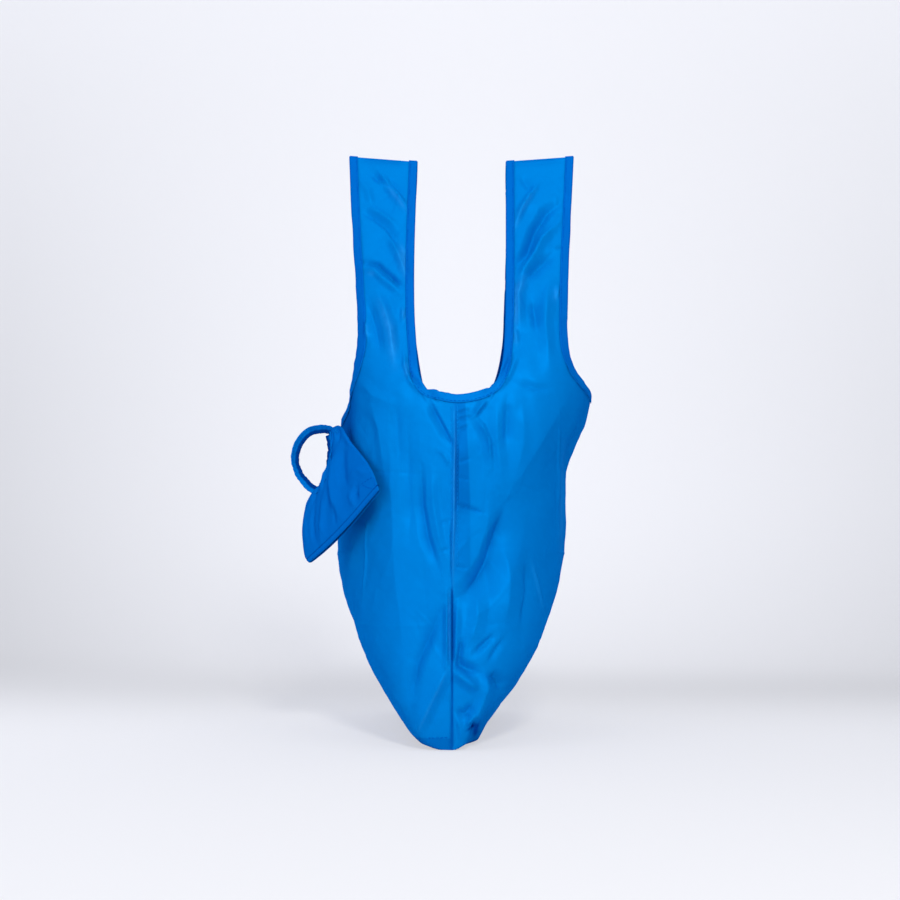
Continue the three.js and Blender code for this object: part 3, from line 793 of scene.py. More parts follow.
def snap_to_edge(points, inside):
    """Move points just outside a cut line onto it, along the grid."""
    moved = points.copy()
    snapped = np.zeros(inside.shape, bool)
    best = np.full(inside.shape, 1e9)
    for dr, dc in ((0, 1), (0, -1), (1, 0), (-1, 0)):
        other = np.roll(inside, (-dr, -dc), (0, 1))
        target = np.roll(points, (-dr, -dc), (0, 1))
        near = np.ones(inside.shape, bool)
        if dr:
            near[-1 if dr > 0 else 0] = False
        if dc:
            near[:, -1 if dc > 0 else 0] = False
        crossing = near & (inside < 0) & (other > 0)
        share = np.where(crossing, -inside / np.maximum(other - inside, 1e-6), 0)
        place = points + (target - points) * share[..., None]
        gap = np.linalg.norm(place - points, axis=-1)
        better = crossing & (gap < best)
        best = np.where(better, gap, best)
        moved = np.where(better[..., None], place, moved)
        snapped |= better
    return moved, (inside >= 0) | snapped


def bottom_rows(first):
    """Half of the boxed bottom, in from the lowest row of the panel's side to the seam."""
    rows = []
    for share in np.linspace(0, 1, BOTTOM_ROWS + 1)[1:]:
        row = first.copy()
        row[:, 0] = SEAM_X + (row[:, 0] - SEAM_X) * (1 - share)
        row[:, 2] = 0.5 + 0.3 * np.sin(row[:, 1] / 9) * share
        rows.append(row)
    return np.array(rows[::-1])


def panel_grid(right):
    """Points of one panel, seam to seam in each row, and which of them are cloth."""
    heights = np.concatenate([
        np.linspace(0, FOLD_HEIGHT, int(FOLD_HEIGHT / ROW_STEP)),
        FOLD_HEIGHT + FOLD_RADIUS * np.sin(np.radians([15, 30, 45, 60, 72, 82, 90])),
    ])
    angles = []
    for z in heights:
        near, far = (quarter_angles(min(z, FOLD_HEIGHT), int(PANEL_WIDTH / 2 / step), right)
                     for step in (NEAR_STEP, FAR_STEP))
        turn = np.concatenate([-near[::-1], far[1:]])
        angles.append(turn if right else math.pi - turn)
    angles = np.array(angles)
    rows = np.broadcast_to(heights[:, None], angles.shape)
    points, _ = cloth(angles, rows)
    inside = inside_cloth(on_form(angles, rows)) - EDGE_INSIDE_TAPE
    points, keep = snap_to_edge(points, inside)
    bottom = bottom_rows(points[0])
    points[0, :, 2] = 0.6
    keep = np.concatenate([np.ones(bottom.shape[:2], bool), keep])
    return np.concatenate([bottom, points]), keep


print("grid of a panel", (BOTTOM_ROWS + int(FOLD_HEIGHT / ROW_STEP) + 7), "rows")

# %% [markdown]
# The two panels meet in a felled seam: the cloth lies double in a band on its right. Low
# down the seam sinks into a groove. Double cloth and the hem get the deeper colour, and the
# same colour is painted as shade into the groove and into places in their own shadow.

# %% Panels
# beyond these points (x, z), right of the plane break, the side that turns away from the light
# gets a little painted shade
SIDE_BREAK = [(46, 154), (44, 182), (49, 212), (56, 235), (62, 260), (77, 284), (92, 308),
              (113, 336), (128, 362)]
SEAM_GROOVE = 1.5


def deeper_places(x, y, z, groove):
    """How much of the deeper colour each point of a panel gets, for double cloth and as painted
    shade.
    """
    band_end = np.interp(z, [200, 240, 300, 340], [19.5, 19.5, 17, 14.5])
    band = step_up(x, 4.0, 4.6) * (1 - step_up(x, band_end - 0.6, band_end + 1.2))
    band *= 0.22 * step_up(z, 160, 175) + 0.24 * step_up(z, 226, 236)
    hem = 0.4 * (1 - step_up(z, 11.4, 12.2)) * (x < 0)
    break_x = np.interp(z, [height for _, height in SIDE_BREAK], [place for place, _ in SIDE_BREAK])
    # painted shade on the side that turns away from the light
    painted_side_shade = 0.05 * step_up(x - break_x, -0.5, 3) * step_up(z, 146, 186)
    # painted shadow along the left opening, under its tape
    painted_edge_shadow = 0.6 * step_up(-x, 88, 102) * step_up(z, 282, 306) * (1 - step_up(z, 360, 400))
    # the seam's groove and the tucks get painted shade as well
    deeper = np.stack([band, hem, painted_side_shade, painted_edge_shadow, 0.8 * groove, fold_heights(x, z, PAINTED_TUCK_SHADE)]).max(0)
    return np.where((y < 0) | (band > 0) | (hem > 0) | (groove > 0.1), deeper, 0)


def painted_highlight_places(x, y, z):
    """How much painted pale highlight each point of a panel gets, less on the far side."""
    near = np.where(y < 0, fold_heights(x, z, PAINTED_HIGHLIGHTS), 0.0)
    far = np.where(y > 0, fold_heights(SEAM_X * 2 - x, z - FAR_FOLD_LIFT, PAINTED_HIGHLIGHTS), 0.0)
    return np.clip(near + 0.7 * far, 0, 1)


def panel(name, node, right):
    grid, keep = panel_grid(right)
    x, y, z = np.moveaxis(grid, -1, 0)
    groove = np.exp(-(((x - SEAM_X) / 0.9) ** 2)) * (1 - step_up(z, 150, 166))
    y += np.where(y < 0, SEAM_GROOVE, -SEAM_GROOVE) * groove * step_up(z, 1, 6)
    double_cloth_and_painted_shade = deeper_places(x, y, z, groove)
    piece = make_piece(name, grid.reshape(-1, 3), grid_faces(*keep.shape, keep.ravel()), node,
                       double_cloth_and_painted_shade.ravel(), painted_highlight_places(x, y, z).ravel())
    clean_mesh(piece, 0.02)
    centre = (SEAM_X + (60 if right else -60)) * MM
    outer = max(piece.data.polygons, key=lambda face: abs(face.center.x - centre))
    if outer.normal.x * (1 if right else -1) < 0:
        piece.data.flip_normals()
    piece.data.materials.append(panel_taffeta)
    print(name, len(piece.data.polygons), "faces")
    return piece


left_panel = panel("left_panel_cloth", "left_panel", False)
right_panel = panel("right_panel_cloth", "right_panel", True)

# %% [markdown]
# ## Binding tape
# A raw edge of thin cloth frays, so it is bound: a strip of the same cloth is folded over it
# and sewn through. Its section is a narrow U. We carry that U along the edge as a ring of
# points and join the rings, front and back, into one closed loop for each opening.

# %% Tape builder
TAPE_WIDTH = 8.0
TAPE_HALF = 1.0  # from the cloth to the tape's outer face
TAPE_WALL = 0.35
SAME_PLACE = 0.8  # rings nearer to each other than this are one
TOP_OF_FOLD = FOLD_HEIGHT + FOLD_RADIUS - 0.15


def surface_at(x, z, side):
    """Cloth surface and normals at places (x, z) of the near (-1) or far (1) side."""
    reach, _, _, sides = form_at(x, z)
    share = np.clip(np.abs(x - SEAM_X) / reach, 0, 1)
    angle = np.arccos(np.clip(share ** (sides / 2), 0, 1))
    angle = np.where(x > SEAM_X, angle, math.pi - angle) * side
    return cloth(angle, z)


def rings_to_piece(name, rings, closed, node, finish, double_cloth_and_painted_shade):
    """A tube through rings of points, joined end to end if closed, else with two caps."""
    rows, count = rings.shape[:2]
    faces = grid_faces(rows, count, ring=True, closed=closed)
    if not closed:
        faces.append(tuple(range(count))[::-1])
        faces.append(tuple((rows - 1) * count + c for c in range(count)))
    piece = make_piece(name, rings.reshape(-1, 3), faces, node,
                       np.broadcast_to(double_cloth_and_painted_shade, (rows, count)).ravel())
    clean_mesh(piece)
    piece.data.materials.append(finish)
    return piece


def tape_rings(strip, normals, edge_out, puckers):
    """Rings of a folded tape. strip[i, k] is the cloth at k steps in from the edge."""
    half = TAPE_HALF + puckers[:, None, None]
    outer = strip + normals * half
    inner = strip - normals * half
    outer_in = strip + normals * (half - TAPE_WALL)
    inner_in = strip - normals * (half - TAPE_WALL)
    tip = strip[:, 0] + edge_out * TAPE_HALF
    tip_in = strip[:, 0] + edge_out * (TAPE_HALF - TAPE_WALL)
    return np.concatenate([
        outer[:, ::-1], tip[:, None], inner,
        inner_in[:, ::-1], tip_in[:, None], outer_in,
    ], axis=1)


def edge_strip(line, into, drop, side):
    """Cloth points from the cut line inwards. drop turns the way in from sideways to down."""
    line = smooth_line(line)
    along = unit(np.gradient(line, axis=0))
    way = np.stack([-along[:, 1], along[:, 0]], -1) * into
    if drop:
        turn = step_up(line[:, 1] - BODY_HEIGHT, 0, 66)[:, None]
        sideways = np.array([[-np.sign(line[0, 0]), 0.0]])
        down = np.array([[0.0, -1.0]])
        way = unit(sideways * np.sin(turn * math.pi / 2) + down * np.cos(turn * math.pi / 2))
    steps = np.linspace(0, TAPE_WIDTH, 7)
    flat = line[:, None, :] + way[:, None, :] * steps[None, :, None]
    return surface_at(flat[..., 0], np.minimum(flat[..., 1], TOP_OF_FOLD), side)


def trimmed(line):
    """A cut line that stops at the fold of the handle."""
    line = smooth_line(line, 0.5)
    return line[line[:, 1] <= TOP_OF_FOLD]


def bind_edge(name, node, line, into, drop):
    """Tape round one opening: along the near side, over the fold and back on the far side."""
    line = trimmed(line)
    near, near_normals = edge_strip(line, into, drop, -1)
    far_line = line.copy()
    if not drop:
        far_line[:, 0] += np.sign(line[:, 0] - SEAM_X) * set_back(line[:, 1])
    far, far_normals = edge_strip(far_line, into, drop, 1)
    # the far side runs back the other way; shared end points at folds are dropped
    strip = np.concatenate([near, far[::-1]])
    normals = np.concatenate([near_normals, far_normals[::-1]])
    keep = [0]
    for i in range(1, len(strip)):
        if np.linalg.norm(strip[i, 0] - strip[keep[-1], 0]) > SAME_PLACE:
            keep.append(i)
    if np.linalg.norm(strip[keep[-1], 0] - strip[0, 0]) < SAME_PLACE:
        keep.pop()
    strip, normals = strip[keep], normals[keep]
    edge_out = unit(strip[:, 0] - strip[:, 1])
    run = np.cumsum(np.linalg.norm(np.diff(strip[:, 0], axis=0, append=strip[:1, 0]), axis=1))
    puckers = 0.16 * np.sin(run / 1.9) + 0.14 * np.sin(run / 4.3 + 1.0)
    rings = tape_rings(strip, normals, edge_out, puckers)
    on_strap = step_up(rings[..., 2], BODY_HEIGHT + 4, BODY_HEIGHT + 40)  # deeper in colour
    piece = rings_to_piece(name, rings, True, node, tape_taffeta, on_strap)
    length = float(run[-1])
    print(name, round(length), "mm of tape")
    return piece, strip, normals, length


neck_tape, neck_strip, neck_normals, neck_length = bind_edge(
    "neck_tape", "neck_binding", NECK_LINE, -1, False)
left_tape, left_strip, left_normals, left_length = bind_edge(
    "left_handle_tape", "left_handle_binding", LEFT_LINE, 1, True)
right_tape, right_strip, right_normals, right_length = bind_edge(
    "right_handle_tape", "right_handle_binding", RIGHT_LINE, -1, True)

# %% [markdown]
# ## Stitches
# The tapes are held by a lockstitch: short threads that dip into the cloth between the
# stitches. Each stitch is a small bent bead with four sides. They are all in one mesh, since
# they are one thread. They are sewn 1.7 mm in from the tape's inner edge. Two more rows hold
# the felled seam, and one the bottom's hem.

# %% Stitches
STITCH_LENGTH = 3.2
STITCH_GAP = 0.9
THREAD_HALF = 0.3
STITCH_FROM_EDGE = 1.7
SEAM_ROWS = (1.4, 7.4)  # x of the two rows on the felled seam


def stitch_beads(line, normals):
    """Points and faces of the stitches along a line of surface points."""
    run = run_along(line)
    points, faces = [], []
    places = np.arange(1.0, run[-1] - STITCH_LENGTH, STITCH_LENGTH + STITCH_GAP)
    for start in places:
        t = start + np.array([0.0, 0.28, 0.72, 1.0]) * STITCH_LENGTH
        mid, out = at_run(t, run, line), at_run(t, run, normals)
        across = np.cross(unit(np.gradient(mid, axis=0)), out)
        lift = np.array([-0.3, 0.12, 0.12, -0.3])
        first = len(points)
        for i in range(4):
            centre = mid[i] + out[i] * lift[i]
            for a, b in ((1, 0), (0, 1), (-1, 0), (0, -1)):
                points.append(centre + (across[i] * a + out[i] * b) * THREAD_HALF)
        for i in range(3):
            for c in range(4):
                d = (c + 1) % 4
                low, high = first + i * 4, first + (i + 1) * 4
                faces.append((low + c, low + d, high + d, high + c))
        faces.append((first + 3, first + 2, first + 1, first))
        faces.append((first + 12, first + 13, first + 14, first + 15))
    return points, faces


def sew(name, seams, finish=thread_finish):
    """One mesh of stitches along several lines."""
    points, faces = [], []
    for line, normals in seams:
        more, shapes = stitch_beads(line, normals)
        faces += [tuple(i + len(points) for i in face) for face in shapes]
        points += more
    piece = make_piece(name, np.array(points), faces)
    piece.data.materials.append(finish)
    print(name, len(faces), "faces")
    return piece


def tape_seam(strip, normals, side):
    """The sewn line on one face of a tape, all the way round its opening."""
    share = (TAPE_WIDTH - STITCH_FROM_EDGE) / TAPE_WIDTH * (strip.shape[1] - 1)
    low = int(share)
    part = share - low
    line = strip[:, low] * (1 - part) + strip[:, low + 1] * part
    out = normals[:, low] * side
    return line + out * (TAPE_HALF + 0.02), out


def surface_seam(places, lift):
    """A sewn line on the near side at places (x, z), a little off the cloth."""
    line, out = surface_at(places[:, 0], places[:, 1], -1)
    return line + out * lift, out


bottom_hem = np.array([(-33.0, 13.0), (-22.0, 12.2), (-10.0, 12.4), (0.0, 13.0)])
seam_heights = np.linspace(176, 334, 60)
seam_rows = [np.stack([np.full(60, x), seam_heights], -1) for x in SEAM_ROWS]
bottom_stitches = sew("bottom_stitches", [surface_seam(bottom_hem, 0.2)])
seam_stitches = sew("seam_stitches", [surface_seam(row, 0.1) for row in seam_rows], pale_thread)
tape_stitches = sew("tape_stitches", [
    tape_seam(strip, normals, side)
    for strip, normals in ((neck_strip, neck_normals), (left_strip, left_normals),
                           (right_strip, right_normals))
    for side in (1, -1)
])

# %% [markdown]
# ## Storage pouch
# The bag folds away into this small pouch. It is a flat pocket of the same cloth, hemmed at
# its mouth, and it hangs by one corner from the left side, aslant to the view. We work in its
# own plane: along the hem, up the pouch and out of it, away from the bag.

# %% Pouch plane
POUCH_MOUTH = np.array((-69.3, -144.0, 252.1))
POUCH_HEM_END = np.array((-142.3, -88.2, 176.1))
POUCH_TOP = np.array((-109.3, -60.2, 314.1))

ALONG = unit(POUCH_HEM_END - POUCH_MOUTH)
OUT = unit(np.cross(POUCH_TOP - POUCH_MOUTH, ALONG))
UP = np.cross(ALONG, OUT)


def on_pouch(along, up, out):
    """A point from its place in the pouch's own plane."""
    along, up, out = np.broadcast_arrays(*(np.asarray(v, float)[..., None]
                                           for v in (along, up, out)))
    return POUCH_MOUTH + along * ALONG + up * UP + out * OUT


print("pouch faces", OUT.round(3))

# %% [markdown]
# The pouch is two layers of cloth joined at three edges, like a pillowcase, and open along
# its hem. Each layer is a patch stretched between four edge lines. The layers stand a few
# millimetres apart in the middle and almost meet at the mouth. The ribbon gathers the upper
# edge into a hollow curve, and the corner by which the pouch hangs is crumpled.

# %% Pouch
# the edges in the pouch's plane: (along, up)
POUCH_HEM = [(-1.7, -4.0), (22.1, -6.0), (46.2, -8.0), (72.6, -7.9), (95.7, -6.1), (115.9, -2.8)]
POUCH_INNER = [(-1.7, -4.0), (-0.6, 8.2), (0.2, 20.9), (2.8, 34.3), (5.7, 45.2), (11.2, 61.6),
               (16.5, 78.3), (19.8, 91.9), (23.0, 105.0)]
POUCH_UPPER = [(23.0, 105.0), (28.0, 113.1), (35.2, 117.0), (41.6, 116.0), (45.5, 110.5),
               (46.7, 104.3), (48.5, 97.6), (51.2, 90.0), (56.6, 80.8), (63.5, 75.0),
               (72.0, 71.5), (79.5, 70.5), (85.4, 66.6)]
POUCH_OUTER = [(115.9, -2.8), (120.2, 9.3), (117.9, 28.0), (113.9, 43.0), (104.9, 58.5),
               (97.9, 66.0), (85.4, 66.6)]
# folds of the pouch, told like those of the bag, at places (along, up) of its plane
POUCH_FOLDS = [
    (3.9, 3.5, 0, [(41, 120), (34, 110), (35, 99), (41, 93)], 3.0),
    (-3.3, 3.0, 0, [(29, 113), (29, 102), (33, 90)], 3.0),
    (3.0, 3.0, 0, [(37, 117), (40, 106), (46, 96)], 3.0),
    (-3.0, 3.0, 0, [(43, 112), (46, 101), (52, 88)], 4.0),
    (3.6, 4.0, 0, [(24, 104), (21, 86), (15, 69)], 5.0),
    (5.1, 12.0, 0, [(33, 90), (46, 73), (55, 53), (58, 34), (58, 10)], 7.0),
    (-3.6, 9.0, 0, [(26, 84), (34, 64), (38, 46), (36, 30)], 9.0),
    (3.6, 7.0, 0, [(30, 43), (17, 38), (7, 27)], 6.0),
    (-4.8, 5.0, 0, [(23, 24), (30, 18), (28, 10)], 5.0),
    (2.4, 4.0, 0, [(36, 24), (36, 14), (34, 4)], 5.0),
    (3.3, 8.0, 0, [(68, 52), (75, 38), (83, 21), (86, 8)], 6.0),
    (-3.6, 6.0, 0, [(86, 52), (95, 37), (99, 21), (99, 10)], 4.0),
    (2.4, 5.0, 0, [(97, 62), (105, 48), (110, 32), (112, 14)], 6.0),
    (3.0, 4.0, 0, [(60, 82), (66, 70), (74, 58)], 5.0),
    (-2.7, 4.0, 0, [(74, 76), (80, 64), (90, 52)], 4.0),
    (2.1, 4.0, 0, [(84, 70), (92, 60), (99, 52)], 4.0),
    (-1.8, 3.0, 0, [(66, 6), (64, 14), (58, 26)], 3.0),
    (1.5, 3.0, 0, [(92, 2), (90, 12), (82, 24)], 4.0),
]
# the rows lie closer together at the hem, where its groove has to show
POUCH_SHARES = np.concatenate([np.linspace(0, 0.10, 19)[:-1], np.linspace(0.10, 1, 50)])
POUCH_COLUMNS = 70
HEM_WIDTH = 7.6
HEM_GROOVE = 1.5
POUCH_CLOTH = 0.3  # thickness, a little more than real so that light can't pass
LAYER_STEP = 0.6  # how far a point moves at a time until it clears the bag
LAYER_TRIES = 14


def even_line(points, shares):
    """Points at the given shares of a smooth line's length, or a count of even ones."""
    line = smooth_line(points, 0.4)
    run = run_along(line)
    even = run[-1] * (np.linspace(0, 1, shares) if np.isscalar(shares) else shares)
    return at_run(even, run, line)


def pouch_plane():
    """Places (along, up) of a patch between the four edges of the pouch."""
    low = even_line(POUCH_HEM, POUCH_COLUMNS)
    high = even_line(POUCH_UPPER, POUCH_COLUMNS)
    start = even_line(POUCH_INNER, POUCH_SHARES)
    end = even_line(POUCH_OUTER, POUCH_SHARES)
    u = np.linspace(0, 1, POUCH_COLUMNS)[None, :, None]
    v = POUCH_SHARES[:, None, None]
    ruled = low[None] * (1 - v) + high[None] * v + start[:, None] * (1 - u) + end[:, None] * u
    corners = ((1 - u) * (1 - v) * low[0] + u * (1 - v) * low[-1]
               + (1 - u) * v * high[0] + u * v * high[-1])
    return ruled - corners


def clear_of_bag(points, gap):
    """Push points out along the pouch's outward direction until they clear the bag."""
    points = points.copy()
    for _ in range(LAYER_TRIES):
        x, y, z = np.moveaxis(points, -1, 0)
        reach, depth, ends, sides = form_at(x, z)
        level = (np.abs(x - SEAM_X) / (reach + gap)) ** sides
        level = level + (np.abs(y) / (depth + gap)) ** ends
        points[level < 1] += OUT * LAYER_STEP
    return points


def pouch_layer(side):
    """One layer of the pouch, the near one (1) or the one against the bag (-1)."""
    place = pouch_plane()
    u = np.linspace(0, 1, POUCH_COLUMNS)[None, :]
    v = POUCH_SHARES[:, None]
    belly = np.sqrt(np.clip(4 * u * (1 - u), 0, 1)) * np.sqrt(np.clip(1 - v**3, 0, 1))
    half = 0.15 + belly * (0.5 + 3.4 * np.sin(math.pi * np.clip(v, 0, 1)) ** 0.8)
    folds = fold_heights(place[..., 0], place[..., 1], POUCH_FOLDS)
    gather = 0.5 * np.sin(place[..., 0] * 0.9 + 1.0) * step_up(v, 0.86, 1.0)
    out = side * half + (folds + gather) * (0.35 + 0.65 * belly) + 1.5
    return clear_of_bag(on_pouch(place[..., 0], place[..., 1], out), 2.2 + side * 0.9)


def hem_step(grid, side):
    """Cloth turned under at the mouth stands a little higher, with a groove just above it, which
    also gets painted shade.
    """
    depth = np.linalg.norm(grid - grid[:1], axis=-1)
    turned = 1 - step_up(depth, HEM_WIDTH - 0.6, HEM_WIDTH + 0.6)
    groove = np.exp(-(((depth - HEM_WIDTH) / 0.8) ** 2))
    return grid + OUT * side * (0.9 * turned - HEM_GROOVE * groove)[..., None], groove


def make_pouch():
    front, groove = hem_step(pouch_layer(1), 1)
    back, _ = hem_step(pouch_layer(-1), -1)
    # from the mouth over the upper edge and back: one strip, joined at its two sides
    back[-1] = front[-1]
    back[:, 0], back[:, -1] = front[:, 0], front[:, -1]
    whole = np.concatenate([front, back[::-1][1:]])
    # the hem's groove gets painted shade
    double_cloth_and_painted_shade = np.concatenate([groove, groove[::-1][1:]])
    faces = grid_faces(len(whole), POUCH_COLUMNS)
    piece = make_piece("storage_pouch_cloth", whole.reshape(-1, 3), faces, "stow_pouch",
                       double_cloth_and_painted_shade.ravel())
    clean_mesh(piece, 0.01)
    facing = max(piece.data.polygons, key=lambda face: face.center.dot(OUT))
    if facing.normal.dot(OUT) < 0:
        piece.data.flip_normals()
    active(piece)
    solid = piece.modifiers.new("solidify", "SOLIDIFY")
    solid.thickness = POUCH_CLOTH * MM
    solid.offset = -1.0
    bpy.ops.object.modifier_apply(modifier=solid.name)
    piece.data.materials.append(pouch_taffeta_painted_shade)
    print("pouch", len(piece.data.polygons), "faces")
    return piece, front, back


pouch_piece, pouch_front, pouch_back = make_pouch()

# %% [markdown]
# The hem is sewn twice, close to the mouth and along its turned edge, and a small triangle
# of stitches holds its inner corner.

# %% Pouch stitches
TRIANGLE = [(18.5, 20.5), (1.6, 15.6), (5.6, 4.0), (18.5, 20.5)]
HEM_ROWS = (1.4, HEM_WIDTH - 0.6)


def front_surface(places):
    """Points of the pouch's near layer at places (along, up) of its plane."""
    flat = pouch_front.reshape(-1, 3) - POUCH_MOUTH
    ups, alongs, outs = flat @ UP, flat @ ALONG, flat @ OUT
    found = []
    for along, up in places:
        gap = np.hypot(alongs - along, ups - up)
        nearest = np.argsort(gap)[:4]
        weight = 1 / (gap[nearest] + 0.2)
        found.append(on_pouch(along, up, (outs[nearest] * weight).sum() / weight.sum() + 0.1))
    return np.array(found)


def hem_row(grid, distance, side):
    """A sewn line that runs a given distance above the mouth."""
    depth = np.linalg.norm(grid - grid[:1], axis=-1)
    line = np.array([at_run(distance, depth[:, c], grid[:, c])
                     for c in range(1, grid.shape[1] - 1)]) + OUT * side * 0.15
    return line, np.broadcast_to(OUT * side, line.shape)


triangle_line = front_surface(even_line(TRIANGLE, 40))
pouch_stitches = sew("pouch_stitches", [
    *(hem_row(pouch_front, distance, 1) for distance in HEM_ROWS),
    *(hem_row(pouch_back, distance, -1) for distance in HEM_ROWS),
    (triangle_line, np.broadcast_to(OUT, triangle_line.shape)),
])

# %% [markdown]
# ## Ribbon loop
# A woven ribbon is sewn into the top corner and the far side of the pouch. It is a flat band
# about 9 mm wide that was folded along its middle, and it stands up as a loop beside the
# pouch. The half of it that faces into the loop gets painted shade, for its own shadow.

# %% Ribbon loop
RIBBON_WIDTH = 9.2
RIBBON_HALF = 0.35
RIBBON_CREASE = 1.7
# along, up, out of the pouch's plane, and the turn of the ribbon in degrees
RIBBON_PATH = [
    (34.0, 103.0, 3.0, 75), (38.0, 114.0, 2.6, 64), (45.5, 123.3, 1.4, 55),
    (55.7, 133.4, 0.5, 52), (68.5, 142.4, 0.0, 48), (79.5, 145.2, 0.0, 38),
    (90.3, 143.0, 0.0, 25), (97.8, 136.8, 0.0, 12), (101.2, 127.0, 0.0, 10),
    (101.4, 116.6, 0.0, 18), (99.0, 103.8, 0.0, 32), (94.0, 90.0, 0.0, 44),
    (87.8, 76.6, 0.5, 56), (80.0, 68.0, 1.5, 68), (71.5, 67.0, 3.0, 74),
    (62.5, 70.2, 3.6, 75), (55.0, 76.4, 3.8, 75), (49.4, 87.2, 3.8, 75),
    (46.0, 97.6, 3.6, 75), (44.2, 107.2, 3.2, 75), (43.0, 114.0, 2.8, 78),
]


def make_ribbon():
    path = smooth_line(RIBBON_PATH, 1.4)
    centre = on_pouch(path[:, 0], path[:, 1], path[:, 2])
    ahead = unit(np.gradient(centre, axis=0))
    flat = unit(np.cross(ahead, np.broadcast_to(OUT, ahead.shape)))
    wide = np.cross(flat, ahead)
    turn = np.radians(path[:, 3])[:, None]
    wide, flat = wide * np.cos(turn) + flat * np.sin(turn), flat * np.cos(turn) - wide * np.sin(turn)
    across = np.linspace(-0.5, 0.5, 7) * RIBBON_WIDTH
    middle = centre[:, None] + wide[:, None] * across[None, :, None]
    # the ribbon is creased along its middle, and crumpled a little
    crease = RIBBON_CREASE * (1 - np.abs(2 * across / RIBBON_WIDTH))
    step = np.arange(len(path))[:, None]
    crumple = 0.35 * np.sin(step * 0.83 + across * 0.5)
    crumple = crumple + 0.45 * np.sin(step * 0.31) + 0.2 * np.sin(step * 1.7)
    middle = middle + flat[:, None] * (crease + crumple)[..., None]
    top = middle + flat[:, None] * RIBBON_HALF
    low = middle - flat[:, None] * RIBBON_HALF
    rings = np.concatenate([top, low[:, ::-1]], axis=1)
    # the half that faces into the loop gets painted shade
    painted_inner_shade = np.where(across < -1, 1.0, 0.0)
    piece = rings_to_piece("ribbon_loop", rings, False, "pouch_loop",
                           ribbon_weave, np.concatenate([painted_inner_shade, painted_inner_shade[::-1]]))
    length = float(run_along(centre)[-1])
    print("ribbon", round(length), "mm long")
    return piece, length


ribbon_piece, ribbon_length = make_ribbon()

# %% [markdown]
# ## Stage
# A photographer's table: a pale sweep that curves up behind the bag, so that no edge shows.
# The camera sees the paper partly as the lamps light it and partly as a tone of its own,
# with shade painted in, which keeps it pale without more light on the bag.

# %% Paper
# Tones from 0 to 255, with shade painted in. The wall is almost white and the floor, by
# painted shade, a little greyer. Where the floor turns up the paper gets painted shade, most of
# all at the sides, and painted shade makes the floor a little darker from left to right.
WALL_TONE = 251.5
FLOOR_TONE = 238.5
BEND_SHADE = 16.0
LEFT_CORNER_SHADE = 19.0
RIGHT_CORNER_SHADE = 13.0
FLOOR_LEAN = 6.0
FLOOR_FALL = 1.5  # the floor's two sides are both a little darker than its middle
HALF_VIEW = 560.0  # from the middle of the picture to where the shades reach their full strength
PAPER_SHARE_LIT = 0.35  # the rest shows its own tone, so that the shadow stays as soft


def paper_tone_with_painted_shade(run, x):
    """Painted tone of the paper at a distance along it, front to back, and a place across it."""
    rise = step_up(run, 650, 1400)
    bend = np.exp(-(((run - 390) / 250) ** 2))
    middle = FLOOR_TONE + (WALL_TONE - FLOOR_TONE) * rise - BEND_SHADE * bend
    corner = step_up(run, 250, 780) * (1 - step_up(run, 1000, 2700))
    lean = (1 - step_up(run, 300, 700)) * step_up(run, -1200, 100)
    outward = np.clip(np.abs(x) / HALF_VIEW, 0, 1.35) ** 1.6
    shade = np.where(x < 0, LEFT_CORNER_SHADE, RIGHT_CORNER_SHADE) * corner
    return middle - outward * (shade + (FLOOR_FALL + FLOOR_LEAN * np.sign(x)) * lean)


def paper_finish():
    """Pale paper. The camera sees it partly as lit and partly as its own tone, with shade painted
    in.
    """
    material = bpy.data.materials.new("pale_paper")
    material.use_nodes = True
    tree = material.node_tree
    tree.nodes.clear()
    tone = add_node(tree, "ShaderNodeAttribute", attribute_name="tone").outputs["Color"]
    lit = add_node(tree, "ShaderNodeBsdfDiffuse", {"Color": tone})
    own = add_node(tree, "ShaderNodeEmission", {"Color": tone}, Strength=1.0)
    path = add_node(tree, "ShaderNodeLightPath")
    seen = path.outputs["Is Camera Ray"]
    for kind in ("Is Glossy Ray", "Is Transmission Ray"):
        seen = add_node(tree, "ShaderNodeMath", {0: seen, 1: path.outputs[kind]},
                        operation="MAXIMUM").outputs[0]
    share = add_node(tree, "ShaderNodeMath", {0: seen}, operation="MULTIPLY")
    share.inputs[1].default_value = 1 - PAPER_SHARE_LIT
    mix = add_node(tree, "ShaderNodeMixShader", {0: share.outputs[0], 1: lit.outputs["BSDF"],
                                                 2: own.outputs["Emission"]})
    # seen from behind, the paper lets the view through to the bag
    sheet = add_node(tree, "ShaderNodeNewGeometry")
    hidden = add_node(tree, "ShaderNodeMath", {0: sheet.outputs["Backfacing"],
                                               1: path.outputs["Is Camera Ray"]},
                      operation="MULTIPLY")
    clear = add_node(tree, "ShaderNodeBsdfTransparent")
    whole = add_node(tree, "ShaderNodeMixShader", {0: hidden.outputs[0], 1: mix.outputs["Shader"],
                                                   2: clear.outputs["BSDF"]})
    add_node(tree, "ShaderNodeOutputMaterial", {"Surface": whole.outputs["Shader"]})
    return material


paper = paper_finish()
print("paper on the wall has the tone", WALL_TONE, "of 255")

# %% [markdown]
# The sweep is one sheet: a flat floor, a quarter turn and a wall. Each of its points carries
# the paper's painted tone as a colour.

# %% Floor and backdrop
SWEEP_FRONT = -2300.0
SWEEP_FLAT = 700.0  # where the paper starts to rise
SWEEP_BEND = 900.0
SWEEP_TOP = 3200.0
SWEEP_WIDE = 2600.0
PAPER_TINT = "#F9F8F8"


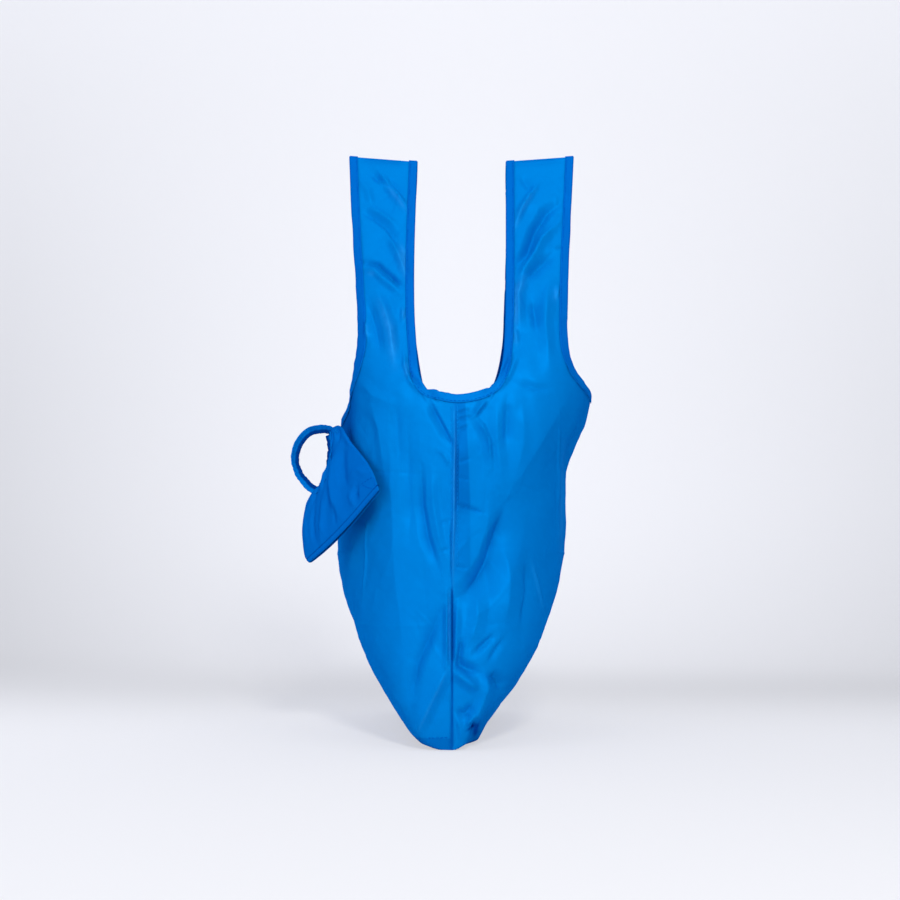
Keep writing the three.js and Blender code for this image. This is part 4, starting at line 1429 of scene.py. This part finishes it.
def sweep_profile():
    turn = np.linspace(0, math.pi / 2, 40)
    bend = np.stack([SWEEP_FLAT + SWEEP_BEND * np.sin(turn),
                     SWEEP_BEND * (1 - np.cos(turn))], -1)
    flat = np.stack([np.linspace(SWEEP_FRONT, SWEEP_FLAT, 40)[:-1], np.zeros(39)], -1)
    wall = np.stack([np.full(19, SWEEP_FLAT + SWEEP_BEND),
                     np.linspace(SWEEP_BEND, SWEEP_TOP, 20)[1:]], -1)
    return np.concatenate([flat, bend, wall])


def make_sweep():
    profile = sweep_profile()
    across = np.linspace(-SWEEP_WIDE, SWEEP_WIDE, 121)
    points = np.zeros((len(profile), len(across), 3))
    points[..., 0] = across[None]
    points[..., 1:] = profile[:, None]
    mesh = bpy.data.meshes.new("sweep")
    mesh.from_pydata([tuple(p) for p in points.reshape(-1, 3) * MM], [],
                     grid_faces(len(profile), len(across)))
    if mesh.polygons[0].normal.z < 0:
        mesh.flip_normals()
    mesh.polygons.foreach_set("use_smooth", [True] * len(mesh.polygons))
    run = run_along(profile) + SWEEP_FRONT
    # the paper's tone with its painted shade
    tone = paper_tone_with_painted_shade(run[:, None], across[None]) / 255
    linear = ((tone + 0.055) / 1.055) ** 2.4
    tint = np.array(colour(PAPER_TINT)[:3]) / colour(PAPER_TINT)[1]
    layer = mesh.attributes.new("tone", "FLOAT_COLOR", "POINT")
    values = np.concatenate([linear[..., None] * tint, np.ones(linear.shape + (1,))], -1)
    layer.data.foreach_set("color", np.clip(values, 0, 1).astype(np.float32).ravel())
    stage = bpy.data.objects.new("sweep", mesh)
    bpy.context.scene.collection.objects.link(stage)
    stage.data.materials.append(paper)
    return stage


sweep = make_sweep()
print("sweep", len(sweep.data.polygons), "faces")

# %% [markdown]
# ## Light
# A small bright lamp stands high in front of the bag, a little to the right, and draws the
# folds. A large panel overhead and a weak one on the left soften it, and the bluish light of
# the room fills the shadows. Where nothing else is in the way, the camera sees a pale room.

# %% Lamps


def area_lamp(name, place, target, size, power, tint="#FFFFFF"):
    data = bpy.data.lights.new(name, "AREA")
    data.shape = "RECTANGLE"
    data.size, data.size_y = size[0] * MM, size[1] * MM
    data.energy = power
    data.color = colour(tint)[:3]
    lamp = bpy.data.objects.new(name, data)
    bpy.context.scene.collection.objects.link(lamp)
    lamp.location = [v * MM for v in place]
    way = np.array(target, float) - np.array(place, float)
    flat = math.hypot(way[0], way[1])
    lamp.rotation_euler = (math.pi / 2 + math.atan2(way[2], flat), 0.0,
                           math.atan2(way[1], way[0]) - math.pi / 2)
    return lamp


area_lamp("key_front", (320, -2250, 1750), (0, 0, 300), (380, 380), 42, "#FFFDF4")
area_lamp("fill_left", (-1900, -1500, 900), (0, 0, 300), (1400, 1400), 9, "#E8EEFF")
area_lamp("top", (0, 300, 2500), (0, 100, 0), (2600, 2600), 24)

# %% [markdown]
# The view transform is Standard, so that a colour is seen as it is written.

# %% Room
world = bpy.data.worlds.new("room")
bpy.context.scene.world = world
world.use_nodes = True
room = world.node_tree
soft = room.nodes["Background"]
soft.inputs["Color"].default_value = colour("#A2BEFF")
soft.inputs["Strength"].default_value = 0.48
pale = add_node(room, "ShaderNodeBackground")
pale.inputs["Color"].default_value = colour("#EEF0F6")
rays = add_node(room, "ShaderNodeLightPath")
direct = add_node(room, "ShaderNodeMath", {0: rays.outputs["Is Camera Ray"],
                                           1: rays.outputs["Is Transmission Ray"]},
                  operation="MAXIMUM")
seen = add_node(room, "ShaderNodeMixShader", {0: direct.outputs[0], 1: soft.outputs[0],
                                              2: pale.outputs[0]})
room.links.new(seen.outputs["Shader"], room.nodes["World Output"].inputs["Surface"])
bpy.context.scene.view_settings.view_transform = "Standard"
print("lamps", [lamp.name for lamp in bpy.data.lights])
